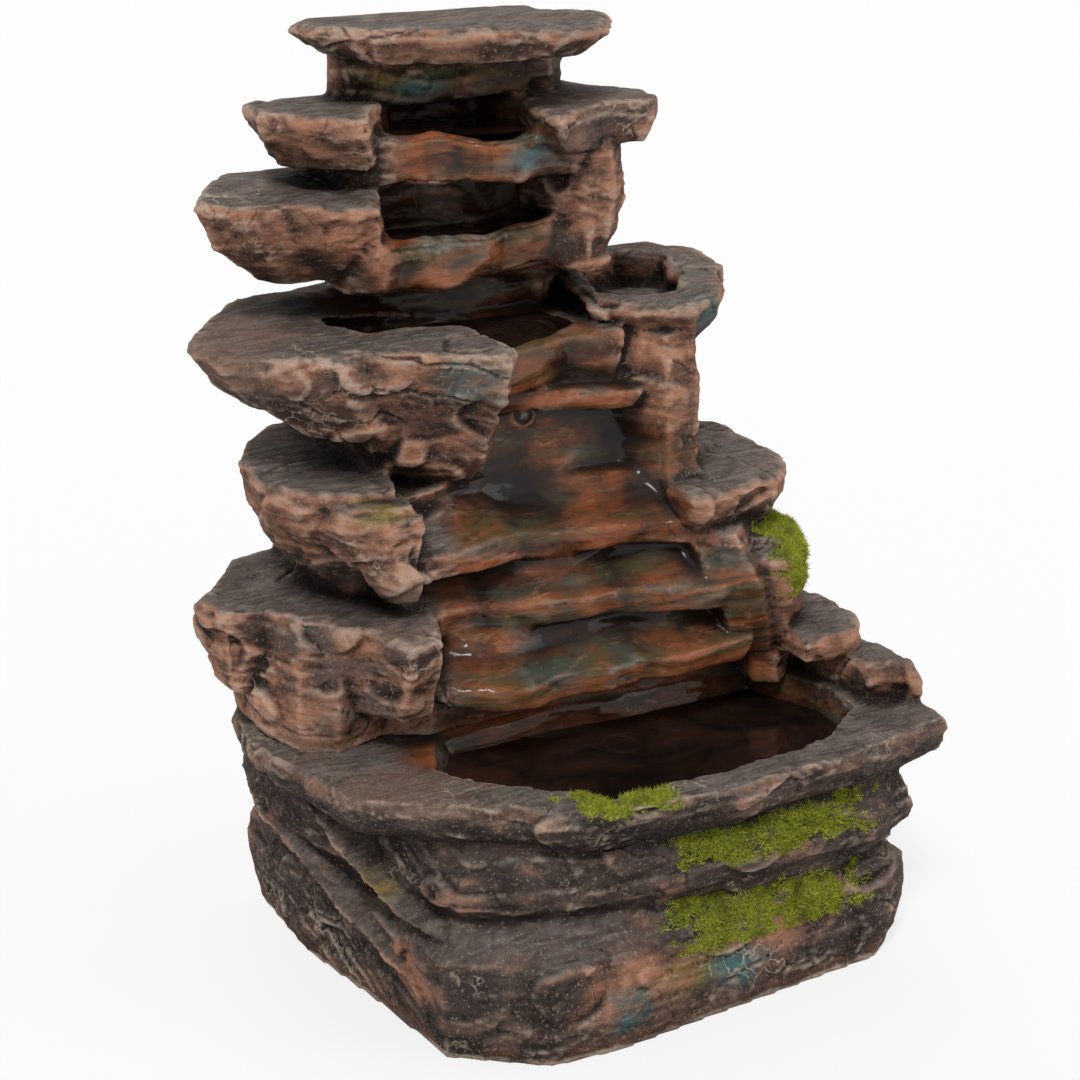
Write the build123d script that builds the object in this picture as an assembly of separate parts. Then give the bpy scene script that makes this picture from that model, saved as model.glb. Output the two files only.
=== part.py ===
"""Tabletop water fountain: a rock cascade of cast resin over a basin, with its pump inside.

Millimetres. +Z is up, -Y is the front with the pool, +X is right as seen from the front.
The origin is on the table, under the middle of the basin's foot.
"""
import os
from math import cos, hypot, pi, radians, sin

from build123d import *

# Overall levels, measured from the table. The cascade stands on the basin, so its levels go up from there
BASIN_HEIGHT = 120.0
CASCADE_HEIGHT = 330.0
BACK_Y = 110.0
BACK_TRIM = 4.0
BACK_EDGE = BACK_Y + BACK_TRIM
CAP_TOP = BASIN_HEIGHT + CASCADE_HEIGHT
CAP_THICK = 16.0
CAP_FOOT = CAP_TOP - CAP_THICK
CAP_BEDDING = 2.0
BLOCK_RISE = 46.0
BLOCK_FOOT = CAP_FOOT + CAP_BEDDING - BLOCK_RISE

# Left shelves of the cascade, from the top down: level of the upper face and thickness
SHELF_1_TOP, SHELF_1_THICK = BASIN_HEIGHT + 293.0, 25.0
SHELF_2_TOP, SHELF_2_THICK = BASIN_HEIGHT + 257.0, 42.0
SHELF_3_TOP, SHELF_3_THICK = BASIN_HEIGHT + 194.0, 44.0
SHELF_4_TOP, SHELF_4_THICK = BASIN_HEIGHT + 131.0, 46.0
SHELF_5_TOP, SHELF_5_THICK = BASIN_HEIGHT + 66.0, 46.0
FOOT_ROCK_TOP = BASIN_HEIGHT + 42.0
BUTTRESS_TOP, BUTTRESS_FOOT = BASIN_HEIGHT + 123.0, BASIN_HEIGHT + 74.0

# Right rocks of the cascade, from the top down
PERCH_1_TOP, PERCH_1_THICK = BASIN_HEIGHT + 292.0, 22.0
BOULDER_TOP, BOULDER_FOOT = BASIN_HEIGHT + 276.0, BASIN_HEIGHT + 216.0
BOWL_TOP, BOWL_THICK = BASIN_HEIGHT + 198.0, 34.0
COLUMN_TOP, COLUMN_FOOT = BASIN_HEIGHT + 180.0, BASIN_HEIGHT + 102.0
PERCH_4_TOP, PERCH_4_THICK = BASIN_HEIGHT + 109.0, 30.0
MOSS_ROCK_TOP = BASIN_HEIGHT + 78.0
PERCH_6_TOP = BASIN_HEIGHT + 32.0
SHOULDER_RISE, SHOULDER_SINK = 18.0, 8.0

# Lips that the water runs over, from the top down, and how deep the pools behind them are
LIP_THICK = 24.0
LIP_1, LIP_2, LIP_3 = BASIN_HEIGHT + 281.0, BASIN_HEIGHT + 233.0, BASIN_HEIGHT + 184.0
LIP_4, LIP_5 = BASIN_HEIGHT + 121.0, BASIN_HEIGHT + 92.0
LIP_6, LIP_7 = BASIN_HEIGHT + 62.0, BASIN_HEIGHT + 30.0
LEDGE_TOP, LEDGE_THICK = BASIN_HEIGHT + 157.0, 10.0
TERRACE_FACE, TERRACE_RISE, TERRACE_RUN = 12.0, 10.0, 18.0
COVE_RISE, COVE_RUN = 22.0, 27.0
POOL_DEPTH, POOL_HEADROOM = 10.0, 12.0
POOL_FLOOR_SPREAD, POOL_ROOF_SPREAD = 0.94, 0.88
NICHE_HEADROOM, NICHE_SPREAD, NICHE_DEPTH = 11.0, 0.9, 10.0
SHELF_POOL_DEPTH, SHELF_POOL_HEADROOM = 5.0, 15.0
BOWL_DEPTH, BOWL_HEADROOM, BOWL_FLOOR_SPREAD, BOWL_MOUTH_SPREAD = 15.0, 12.0, 0.86, 1.08

# Basin: foot strata, front pool, pump sump behind a weir
RIM_THICK = 24.0
RIM_BEDDING, LEDGE_BEDDING = 2.0, 14.0
STRATUM_1_TOP = 64.0
STRATUM_2_FOOT = STRATUM_1_TOP - LEDGE_BEDDING
STRATUM_2_TOP = BASIN_HEIGHT - RIM_THICK + RIM_BEDDING
POOL_FLOOR = 34.0
SUMP_FLOOR = 10.0
SUMP_HALF_WIDTH = 92.0
SUMP_FRONT_Y = 14.0
BACK_WALL = 13.0
SUMP_BACK_Y = BACK_Y - BACK_WALL
SUMP_SHELF = 8.0
WEIR_FRONT_Y = -46.0
SPUR_ROOT, SPUR_HALF = 30.0, 16.0

# Hollow of the cascade: pump chamber and the shaft for the riser hose
CHAMBER_TOP = BASIN_HEIGHT + 160.0
CHAMBER_TAPER = 0.55
CHAMBER_FRONT_Y = 22.0
SHAFT_WIDTH, SHAFT_DEPTH = 34.0, 20.0
TRUNK_TAPER_LOW, TRUNK_TAPER_HIGH = 0.80, 0.74
TRUNK_BEND, TRUNK_TOP = BASIN_HEIGHT + 120.0, BASIN_HEIGHT + 172.0
SPINE_TAPER = 0.9

# Rear service hatch
HATCH_WIDTH, HATCH_HEIGHT = 110.0, 116.0
HATCH_FOOT = BASIN_HEIGHT + 20.0
HATCH_X = -8.0
COVER_FLANGE = 12.0
COVER_THICK = 5.0
COVER_SEAT_Y = BACK_Y - COVER_THICK
COVER_SPIGOT, SPIGOT_WALL = 5.0, 4.0
COVER_GAP = 0.4
FINGER_NOTCH_R, FINGER_NOTCH_OUT, FINGER_NOTCH_DEPTH = 9.0, 3.0, 3.0
WALL_REACH = 20.0
SCREW_R, SCREW_HEAD_R, SCREW_HEAD_H = 1.9, 3.6, 2.2
SCREW_LENGTH, SCREW_SLOT = 10.0, 1.0
SCREW_GAP = 0.1
SCREW_SIDES = 12
INSERT_R, INSERT_LENGTH, INSERT_SIDES = 3.0, 7.0, 8
GROMMET_X, GROMMET_Z = 76.0, BASIN_HEIGHT + 28.0
GROMMET_HOLE_R, GROMMET_FLANGE_R, GROMMET_BORE_R = 6.0, 8.5, 3.2
GROMMET_FLANGE = 2.0
SEAT_GAP = 0.05

# Grille in the weir between the pool and the sump
GRILLE_WIDTH, GRILLE_HEIGHT, GRILLE_THICK = 66.0, 34.0, 3.0
GRILLE_FOOT = 40.0
GRILLE_RIM = 4.0
GRILLE_SLOTS, GRILLE_SLOT_WIDTH = 9, 3.0

# Pump: a potted motor block, a volute and a strainer in a row along X
PUMP_X, PUMP_Y = 35.0, 62.0
PUMP_WIDTH, PUMP_HEIGHT = 40.0, 40.0
MOTOR_LENGTH, VOLUTE_LENGTH, STRAINER_LENGTH = 46.0, 16.0, 16.0
PUMP_FILLET = 4.0
CUP_HEIGHT, CUP_R, CUP_STUD_R, CUP_STUD = 6.0, 6.5, 1.6, 4.0
CUP_INSET, CUP_SIDES = 8.0, 12
WELL_R, WELL_DEPTH = 9.6, 31.0
MAGNET_R, MAGNET_LENGTH = 8.8, 22.0
SHAFT_R, SHAFT_GAP, SHAFT_INSET = 1.5, 0.05, 0.5
BUSH_R, BUSH_LENGTH, BUSH_PROUD, BUSH_WALL = 4.0, 4.0, 1.0, 1.5
CHAMBER_R, CHAMBER_DEPTH = 14.0, 12.0
IMPELLER_R, IMPELLER_HUB_R, IMPELLER_WIDTH = 12.0, 4.5, 8.0
IMPELLER_VANES, VANE_THICK = 6, 1.4
INLET_R, INLET_SPOKES, SPOKE_WIDTH = 8.0, 3, 2.0
SPIGOT_R, SPIGOT_BORE_R, SPIGOT_HEIGHT = 5.0, 3.6, 16.0
GASKET_THICK = 1.2
STRAINER_WALL = 1.8
STRAINER_SLOTS, STRAINER_SLOT_WIDTH = 6, 2.6
SLIDER_WIDTH, SLIDER_HEIGHT, SLIDER_THICK = 18.0, 12.0, 1.8
SLIDER_TRAVEL, SLIDER_REST = 8.0, 2.0
SLIDER_GAP = 0.3
RIDGES, RIDGE_PITCH, RIDGE_RISE = 3, 3.0, 2.5
RAIL_THICK = 2.0
CABLE_GLAND_R, CABLE_GLAND_BORE_R, CABLE_GLAND_LENGTH, CABLE_GLAND_FLOOR = 4.5, 2.6, 9.0, 2.0

# Riser hose and the spring outlet in the floor of the top pool
HOSE_R, HOSE_BORE_R = 7.0, 5.05
HOSE_BEND_R = 80.0
HOSE_LOW_BEND, HOSE_HIGH_BEND = BASIN_HEIGHT + 60.0, BASIN_HEIGHT + 165.0
SPRING_X, SPRING_Y = -20.0, SUMP_BACK_Y - 9.0
SPRING_BORE_R, SPRING_TAIL_R, SPRING_FLANGE_R = 4.0, 5.0, 9.0
SPRING_FLANGE, SPRING_TAIL = 3.0, 30.0
SPRING_FLOOR_THICK = 7.0
OUTLET_FLOOR = LIP_1 - POOL_DEPTH
SEAL_THICK = 1.6
NUT_R, NUT_THICK = 8.5, 4.0
HOSE_GRIP, HOSE_CLEAR = 14.0, 3.0
CLAMP_WIDTH, CLAMP_THICK, CLAMP_GAP = 5.0, 1.0, 0.1
CLAMP_EAR = 4.0

# Lamp over the lower cascade
LAMP_X, LAMP_Z = -11.0, BASIN_HEIGHT + 144.0
LAMP_R, LAMP_LENGTH = 3.0, 10.0
LAMP_SLEEVE_R, LAMP_SLEEVE_LENGTH, LAMP_LIP_R, LAMP_LIP = 4.2, 9.0, 5.0, 1.5
LAMP_SINK = 1.0

# Glued flock moss
MOSS_DEPTH = 3.0
MOSS_SEAT_GAP = 0.05
MOSS_LEDGE_LEFT, MOSS_LEDGE_RIGHT, MOSS_LEDGE_BACK = -20.0, 104.0, -60.0
MOSS_UPPER_DROP, MOSS_UPPER_HEIGHT = 3.0, 15.0
MOSS_LOWER_DROP, MOSS_LOWER_HEIGHT = 6.0, 20.0
MOSS_ROCK_LEFT, MOSS_ROCK_BACK, MOSS_ROCK_DROP = 98.0, 4.0, 22.0

# Shape of a shelf: how far below its top the edge is sharpest, its crown, and where it draws in
EDGE_DROP = 4.0
EDGE_CROWN = 0.95
WAIST_DROP = 0.5
WAIST_SHARE = 0.3
REACH = 400.0
OVERCUT = 1.0
ORIGIN = (0.0, 0.0)


def middle_of(corners):
    """The mean point of an outline's corners."""
    count = len(corners)
    return sum(x for x, y in corners) / count, sum(y for x, y in corners) / count


def stone(corners, levels, pivot=None):
    """A rock of flat facets: one outline drawn again at each level, spread about a pivot.

    A level is its height and spread, and may add how far the outline has drifted in X and Y.
    """
    pivot_x, pivot_y = pivot or middle_of(corners)
    rings = []
    for level, spread, *drift in levels:
        drift_x, drift_y = drift or ORIGIN
        ring = []
        for x, y in corners:
            ring_x = pivot_x + (x - pivot_x) * spread + drift_x
            ring_y = pivot_y + (y - pivot_y) * spread + drift_y
            ring.append(Vector(ring_x, ring_y, level))
        rings.append(ring)
    facets = [Face(Wire.make_polygon(rings[0])), Face(Wire.make_polygon(rings[-1]))]
    count = len(corners)
    for low, high in zip(rings, rings[1:]):
        for i in range(count):
            j = (i + 1) % count
            facets.append(Face(Wire.make_polygon([low[i], low[j], high[j], high[i]])))
    return Solid(Shell(facets))


def rise(foot, top, steps):
    """Levels of a stone from its foot to its top: each step is a share of the rise, then as a level."""
    return [(foot + (top - foot) * share, *shape) for share, *shape in steps]


def shelf(corners, top, thick, undercut, drift=ORIGIN, tip_x=0.0, tip_y=0.0):
    """An overhanging slab, sharp near its top, that draws in below and is tilted about its middle."""
    waist = 1.0 - (1.0 - undercut) * WAIST_SHARE
    levels = [
        (top - thick, undercut, drift[0], drift[1]),
        (top - thick * WAIST_DROP, waist, drift[0] * WAIST_SHARE, drift[1] * WAIST_SHARE),
        (top - EDGE_DROP, 1.0),
        (top, EDGE_CROWN),
    ]
    slab = stone(corners, levels)
    mid_x, mid_y = middle_of(corners)
    slab = slab.rotate(Axis((mid_x, mid_y, top), (1, 0, 0)), tip_x)
    return slab.rotate(Axis((mid_x, mid_y, top), (0, 1, 0)), tip_y)


def block(x0, x1, y0, y1, z0, z1):
    """A box between two opposite corners."""
    box = Box(x1 - x0, y1 - y0, z1 - z0)
    return Pos((x0 + x1) / 2, (y0 + y1) / 2, (z0 + z1) / 2) * box


def rod_z(radius, x, y, z0, z1):
    """A round bar along Z."""
    return Pos(x, y, (z0 + z1) / 2) * Cylinder(radius, z1 - z0)


def rod_x(radius, x0, x1, y, z):
    """A round bar along X."""
    return Pos((x0 + x1) / 2, y, z) * Rot(0, 90, 0) * Cylinder(radius, x1 - x0)


def rod_y(radius, x, y0, y1, z):
    """A round bar along Y."""
    return Pos(x, (y0 + y1) / 2, z) * Rot(90, 0, 0) * Cylinder(radius, y1 - y0)


def bar_y(sides, radius, x, y0, y1, z):
    """A bar of regular section along Y."""
    end = Plane(origin=(x, y0, z), x_dir=(1, 0, 0), z_dir=(0, 1, 0))
    return extrude(end * RegularPolygon(radius, sides), y1 - y0)


def behind_cut(shape, foot):
    """Keep what lies in front of the flat back and above a foot level."""
    return shape & block(-REACH, REACH, -REACH, BACK_Y, foot, REACH * 2)


def fuse(shapes):
    """One solid from overlapping ones."""
    whole = shapes[0]
    for shape in shapes[1:]:
        whole = whole + shape
    return whole


def largest(shape):
    """The biggest solid of a result."""
    return max(shape.solids(), key=lambda solid: solid.volume)


# Basin strata, outlines seen from above
FOOT_CORNERS = [
    (-124, BACK_EDGE), (-131, 40), (-124, -36), (-122, -96), (-82, -130), (-46, -133),
    (10, -127), (122, -116), (136, -106), (132, -40), (128, 40), (122, BACK_EDGE),
]
LEDGE_CORNERS = [
    (-126, BACK_EDGE), (-143, 62), (-139, 4), (-124, -52), (-112, -94), (-70, -120), (-20, -127),
    (44, -129), (104, -125), (134, -114), (138, -60), (132, 40), (124, BACK_EDGE),
]
RIM_CORNERS = [
    (-118, BACK_EDGE), (-150, 70), (-160, 28), (-158, -14), (-152, -58), (-104, -100), (-64, -131),
    (-20, -136), (24, -137), (94, -131), (150, -119), (153, -92), (150, -40), (140, 20), (130, BACK_EDGE),
]
POOL_CORNERS = [
    (-76, -6), (-102, -50), (-84, -86), (-58, -104), (-46, -116), (4, -119), (88, -107),
    (120, -82), (124, -52), (112, -6),
]
MOSS_RIM_CORNERS = [
    (-66, -123), (-56, -128.5), (-22, -132.5), (-14, -127), (-20, -120.5), (-44, -118.5), (-60, -112),
]
SHOULDER_CORNERS = [(126, 2), (126, -84), (150, -96), (158, -66), (154, -20), (142, 8)]

STRATUM_1_LEVELS = rise(0.0, STRATUM_1_TOP, [
    (0.0, 0.95, -6.0, -8.0), (0.16, 0.975, -4.0, -6.0), (0.53, 1.015), (0.72, 1.0), (1.0, 0.88),
])
STRATUM_2_LEVELS = rise(STRATUM_2_FOOT, STRATUM_2_TOP, [
    (0.0, 0.9), (0.29, 0.95), (0.4, 0.99), (0.54, 1.0), (0.75, 0.985), (1.0, 0.94),
])
RIM_LEVELS = rise(BASIN_HEIGHT - RIM_THICK, BASIN_HEIGHT, [
    (0.0, 0.90), (0.33, 0.97), (0.75, 1.0), (1.0, 0.985),
])
SHOULDER_LEVELS = rise(BASIN_HEIGHT - SHOULDER_SINK, BASIN_HEIGHT + SHOULDER_RISE, [
    (0.0, 0.96), (0.65, 1.0), (1.0, 0.86),
])
POOL_LEVELS = rise(POOL_FLOOR, BASIN_HEIGHT + SHOULDER_RISE + OVERCUT, [
    (0.0, 0.86), (0.6, 0.89), (0.8, 0.985), (1.0, 1.02),
])

# Two spurs that run down the basin's left side to its front corner: X, Y and share of the basin's height
UPPER_SPUR = [(-151, -2, 0.83), (-147, -24, 0.74), (-138, -46, 0.6), (-129, -70, 0.49), (-110, -94, 0.42)]
LOWER_SPUR = [
    (-146, 56, 0.6), (-145, 24, 0.54), (-141, -2, 0.44), (-136, -28, 0.34), (-133, -60, 0.27),
    (-116, -90, 0.17),
]


def spur(crest):
    """A long ridge of flat facets along a crest line, its roots sunk towards the middle of the basin."""
    rings = []
    for x, y, share in crest:
        z = BASIN_HEIGHT * share
        sunk = 1.0 - SPUR_ROOT / hypot(x, y)
        upper = Vector(x * sunk, y * sunk, z + SPUR_HALF)
        lower = Vector(x * sunk, y * sunk, z - SPUR_HALF)
        rings.append([Vector(x, y, z), lower, upper])
    facets = [Face(Wire.make_polygon(rings[0])), Face(Wire.make_polygon(rings[-1]))]
    for near, far in zip(rings, rings[1:]):
        for i in range(3):
            j = (i + 1) % 3
            facets.append(Face(Wire.make_polygon([near[i], near[j], far[j]])))
            facets.append(Face(Wire.make_polygon([near[i], far[j], far[i]])))
    return Solid(Shell(facets))


def basin_rock():
    """The three strata of the basin, its spurs and the shoulder on its right, still solid."""
    strata = [
        stone(FOOT_CORNERS, STRATUM_1_LEVELS, ORIGIN),
        stone(LEDGE_CORNERS, STRATUM_2_LEVELS, ORIGIN),
        stone(RIM_CORNERS, RIM_LEVELS, ORIGIN),
        stone(SHOULDER_CORNERS, SHOULDER_LEVELS),
        spur(UPPER_SPUR),
        spur(LOWER_SPUR),
    ]
    return behind_cut(fuse(strata), 0.0)


def weir_window(grow, y0, y1):
    """The opening in the weir, or the recess round it that the grille sits in."""
    half = GRILLE_WIDTH / 2 + grow
    return block(-half, half, y0, y1, GRILLE_FOOT - grow, GRILLE_FOOT + GRILLE_HEIGHT + grow)


def basin_casting(rock):
    """Basin with its front pool, its pump sump and the weir window between them."""
    pool = stone(POOL_CORNERS, POOL_LEVELS)
    sump = block(
        -SUMP_HALF_WIDTH, SUMP_HALF_WIDTH, SUMP_FRONT_Y, SUMP_BACK_Y, SUMP_FLOOR, BASIN_HEIGHT + OVERCUT
    )
    casting = rock - pool - sump
    casting = casting - weir_window(-GRILLE_RIM, WEIR_FRONT_Y, SUMP_FRONT_Y + OVERCUT)
    return casting - weir_window(COVER_GAP, SUMP_FRONT_Y - GRILLE_THICK, SUMP_FRONT_Y + OVERCUT)


# Cascade rocks, outlines seen from above
TRUNK_CORNERS = [
    (-120, BACK_Y), (-130, 60), (-118, 12), (-80, -10), (-20, -6), (60, -12), (106, -6), (122, 40),
    (116, BACK_Y),
]
SPINE_CORNERS = [
    (-74, BACK_EDGE), (-78, 92), (-66, 76), (-30, 70), (30, 70), (52, 78), (60, 96), (56, BACK_EDGE),
]
CAP_CORNERS = [
    (-98, 66), (-94, 98), (-80, BACK_EDGE), (44, BACK_EDGE), (60, 86), (58, 50), (36, 18), (4, 8),
    (-26, 26), (-62, 36), (-90, 44),
]
BLOCK_CORNERS = [(-72, 86), (-70, BACK_EDGE), (42, BACK_EDGE), (50, 84), (30, 62), (-18, 70), (-62, 70)]
SHELF_1_CORNERS = [
    (-62, 66), (-60, BACK_EDGE), (-94, BACK_EDGE), (-120, 94), (-127, 68), (-112, 46), (-90, 28), (-78, 46),
]
SHELF_2_CORNERS = [
    (-58, BACK_EDGE), (-124, BACK_EDGE), (-150, 84), (-168, 52), (-150, 38), (-128, 34), (-104, 18),
    (-92, 12), (-76, 44),
]
SHELF_3_CORNERS = [
    (-70, BACK_EDGE), (-122, 104), (-152, 80), (-176, 46), (-172, 18), (-150, 2), (-126, -14), (-112, -10),
    (-80, -26), (-54, -44), (-42, -28), (-44, 20),
]
SHELF_4_CORNERS = [
    (-76, BACK_EDGE), (-108, 104), (-130, 86), (-145, 62), (-153, 22), (-144, -4), (-122, -14), (-98, -10),
    (-80, 30),
]
BUTTRESS_CORNERS = [(-144, 12), (-132, -18), (-112, -30), (-92, -28), (-84, 0), (-104, 26)]
SHELF_5_CORNERS = [
    (-78, BACK_EDGE), (-132, 104), (-146, 84), (-170, 60), (-168, 32), (-150, 26), (-144, 2), (-124, -18),
    (-108, -46), (-90, -44), (-80, -24), (-76, 20),
]
FOOT_ROCK_CORNERS = [
    (-76, BACK_EDGE), (-122, 112), (-148, 72), (-151, 30), (-146, 0), (-130, -12), (-98, 0), (-76, 14),
]
PERCH_1_CORNERS = [
    (-2, 26), (2, 4), (34, 18), (66, 20), (76, 34), (80, 70), (60, BACK_EDGE), (20, BACK_EDGE), (8, 70),
]
BOULDER_CORNERS = [(16, 38), (26, 24), (40, 18), (54, 30), (66, 58), (60, 94), (28, 104), (16, 70)]
BOWL_CORNERS = [
    (30, 24), (44, 2), (68, -12), (92, 2), (110, 26), (128, 54), (134, 90), (116, BACK_EDGE),
    (80, BACK_EDGE), (44, 80),
]
BOWL_POOL_CORNERS = [(40, 36), (54, 20), (78, 20), (100, 46), (108, 80), (90, 96), (58, 84)]
COLUMN_CORNERS = [(36, 14), (54, -12), (74, -10), (84, 12), (86, 60), (58, 70)]
PERCH_4_CORNERS = [
    (46, -42), (80, -36), (106, -32), (122, -18), (132, 30), (136, 70), (118, 96), (80, 80), (56, 20),
]
MOSS_ROCK_CORNERS = [(84, -40), (102, -52), (120, -38), (132, -12), (132, 10), (116, 26), (92, 14)]
MOSS_ROCK_LEVELS = rise(BASIN_HEIGHT, MOSS_ROCK_TOP, [
    (0.0, 0.62), (0.23, 0.66), (0.34, 0.80), (0.51, 0.92), (0.69, 1.0), (0.9, 0.92), (1.0, 0.64),
])
PERCH_6_CORNERS = [(104, -64), (130, -62), (148, -46), (150, -10), (144, 12), (122, 30), (100, 0)]
LIP_1_CORNERS = [
    (-88, BACK_EDGE), (-94, 50), (-74, 36), (-58, 31), (-42, 33), (-28, 22), (-12, 19), (6, 25), (22, 23),
    (40, 28), (62, 60), (60, BACK_EDGE),
]
LIP_2_CORNERS = [
    (-92, BACK_EDGE), (-104, 40), (-92, 16), (-74, 24), (-58, 21), (-40, 28), (-22, 33), (-8, 41), (6, 37),
    (18, 38), (30, 22), (46, 30), (62, 60), (58, BACK_EDGE),
]
LIP_3_CORNERS = [(-60, 90), (-70, 10), (-36, -6), (-12, 2), (10, 12), (40, 8), (52, 60), (50, 90)]
SPLASH_CORNERS = [(-60, 70), (-50, 16), (-18, 10), (6, 2), (42, -8), (66, 20), (66, 70)]
LIP_4_CORNERS = [
    (-104, 80), (-106, -8), (-66, 4), (-20, 20), (8, 12), (34, 16), (62, 20), (96, 34), (100, 80),
]
LIP_5_CORNERS = [
    (-104, 70), (-96, -24), (-82, -20), (-62, -22), (-46, -14), (-28, -6), (-8, -8), (14, -18), (36, -21),
    (56, -30), (76, -24), (104, 0), (110, 70),
]
LIP_6_CORNERS = [
    (-104, 70), (-92, -16), (-72, -15), (-52, -12), (-26, -24), (-2, -30), (20, -28), (48, -40), (68, -45),
    (88, -30), (116, 4), (118, 70),
]
LIP_7_CORNERS = [
    (-104, 70), (-84, -28), (-62, -44), (-44, -46), (-26, -40), (2, -44), (24, -41), (42, -50), (64, -45),
    (86, -42), (112, -10), (118, 70),
]
NECK_CORNERS = [(-104, 4), (-86, -4), (-67, -13), (-51, -25), (-41, -12), (-38, 20), (-60, 60), (-104, 60)]
NECK_LEVELS = rise(LIP_4, SHELF_3_TOP - SHELF_3_THICK, [
    (0.0, 0.8, 4.0, 16.0), (0.5, 0.92, 2.0, 7.0), (1.2, 1.0),
])
CHEEK_CORNERS = [(62, -42), (84, -48), (104, -34), (106, 10), (78, 20), (60, -8)]
CHEEK_LEVELS = rise(LIP_7 - TERRACE_FACE, PERCH_4_TOP - PERCH_4_THICK, [
    (0.0, 0.8, 16.0, 3.0), (0.35, 0.95, 8.0, 0.0), (0.7, 1.0), (1.1, 0.95, -8.0, 12.0),
])
POOL_1_CORNERS = [(-70, 64), (-66, 50), (-40, 44), (-18, 34), (2, 38), (10, 60), (4, 66)]
POOL_2_CORNERS = [(-80, 68), (-86, 46), (-62, 38), (-34, 40), (0, 52), (18, 46), (22, 60), (18, 70)]
POOL_3_CORNERS = [
    (-84, 72), (-106, 66), (-110, 46), (-98, 24), (-54, 22), (-26, 8), (6, 18), (26, 36), (24, 66),
]
POOL_4_CORNERS = [(-24, 36), (-18, 28), (8, 22), (36, 24), (62, 29), (84, 40)]
NICHE_CORNERS = [
    (-70, 57), (20, 57), (10, 74), (8, SPRING_Y + NICHE_DEPTH), (-48, SPRING_Y + NICHE_DEPTH), (-56, 76),
]


def lip(corners, level):
    """A worn ledge that the water spills over, level behind its edge."""
    worn_edge = [(0.0, 0.92), (0.5, 0.97), (0.88, 1.0), (1.0, 0.985)]
    return stone(corners, rise(level - LIP_THICK, level, worn_edge))


def terrace(corners, level):
    """A sloping step under the falls: a short face below its edge, a slope and a cove behind it."""
    return stone(corners, [
        (level - TERRACE_FACE, 0.92), (level - TERRACE_FACE / 2, 0.98), (level, 1.0),
        (level + TERRACE_RISE, 1.0, 0.0, TERRACE_RUN), (level + COVE_RISE, 1.0, 0.0, COVE_RUN),
    ])


def left_shelves():
    """The overhanging slabs up the left side and the rocks that carry them."""
    return [
        shelf(SHELF_1_CORNERS, SHELF_1_TOP, SHELF_1_THICK, 0.86, drift=(6.0, 0.0)),
        shelf(SHELF_2_CORNERS, SHELF_2_TOP, SHELF_2_THICK, 0.66, drift=(18.0, 2.0), tip_x=2.0),
        shelf(SHELF_3_CORNERS, SHELF_3_TOP, SHELF_3_THICK, 0.62, drift=(20.0, -2.0), tip_x=4.0, tip_y=-1.0),
        stone(NECK_CORNERS, NECK_LEVELS),
        shelf(SHELF_4_CORNERS, SHELF_4_TOP, SHELF_4_THICK, 0.74, drift=(12.0, 4.0), tip_x=2.0),
        stone(BUTTRESS_CORNERS, rise(BUTTRESS_FOOT, BUTTRESS_TOP, [
            (0.0, 0.22, 12.0, -16.0), (0.33, 0.55, 8.0, -12.0), (0.78, 1.0), (1.0, 0.80),
        ])),
        shelf(SHELF_5_CORNERS, SHELF_5_TOP, SHELF_5_THICK, 0.88, drift=(4.0, 4.0), tip_x=2.0),
        stone(FOOT_ROCK_CORNERS, rise(BASIN_HEIGHT, FOOT_ROCK_TOP, [(0.0, 0.95), (0.48, 1.0), (1.0, 0.95)])),
    ]


def right_rocks():
    """The slabs, boulders and bowl up the right side."""
    return [
        shelf(PERCH_1_CORNERS, PERCH_1_TOP, PERCH_1_THICK, 0.78),
        stone(BOULDER_CORNERS, rise(BOULDER_FOOT, BOULDER_TOP, [
            (0.0, 0.66), (0.2, 0.88), (0.53, 1.0), (1.0, 0.85),
        ])),
        shelf(BOWL_CORNERS, BOWL_TOP, BOWL_THICK, 0.58, tip_x=4.0),
        stone(COLUMN_CORNERS, rise(COLUMN_FOOT, COLUMN_TOP, [
            (0.0, 1.05), (0.28, 0.92), (0.62, 1.0), (1.0, 0.80),
        ])),
        shelf(PERCH_4_CORNERS, PERCH_4_TOP, PERCH_4_THICK, 0.72),
        stone(MOSS_ROCK_CORNERS, MOSS_ROCK_LEVELS),
        stone(CHEEK_CORNERS, CHEEK_LEVELS),
        stone(PERCH_6_CORNERS, rise(BASIN_HEIGHT + SHOULDER_RISE, PERCH_6_TOP, [
            (0.0, 0.93), (0.64, 1.0), (1.0, 0.92),
        ])),
    ]


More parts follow.
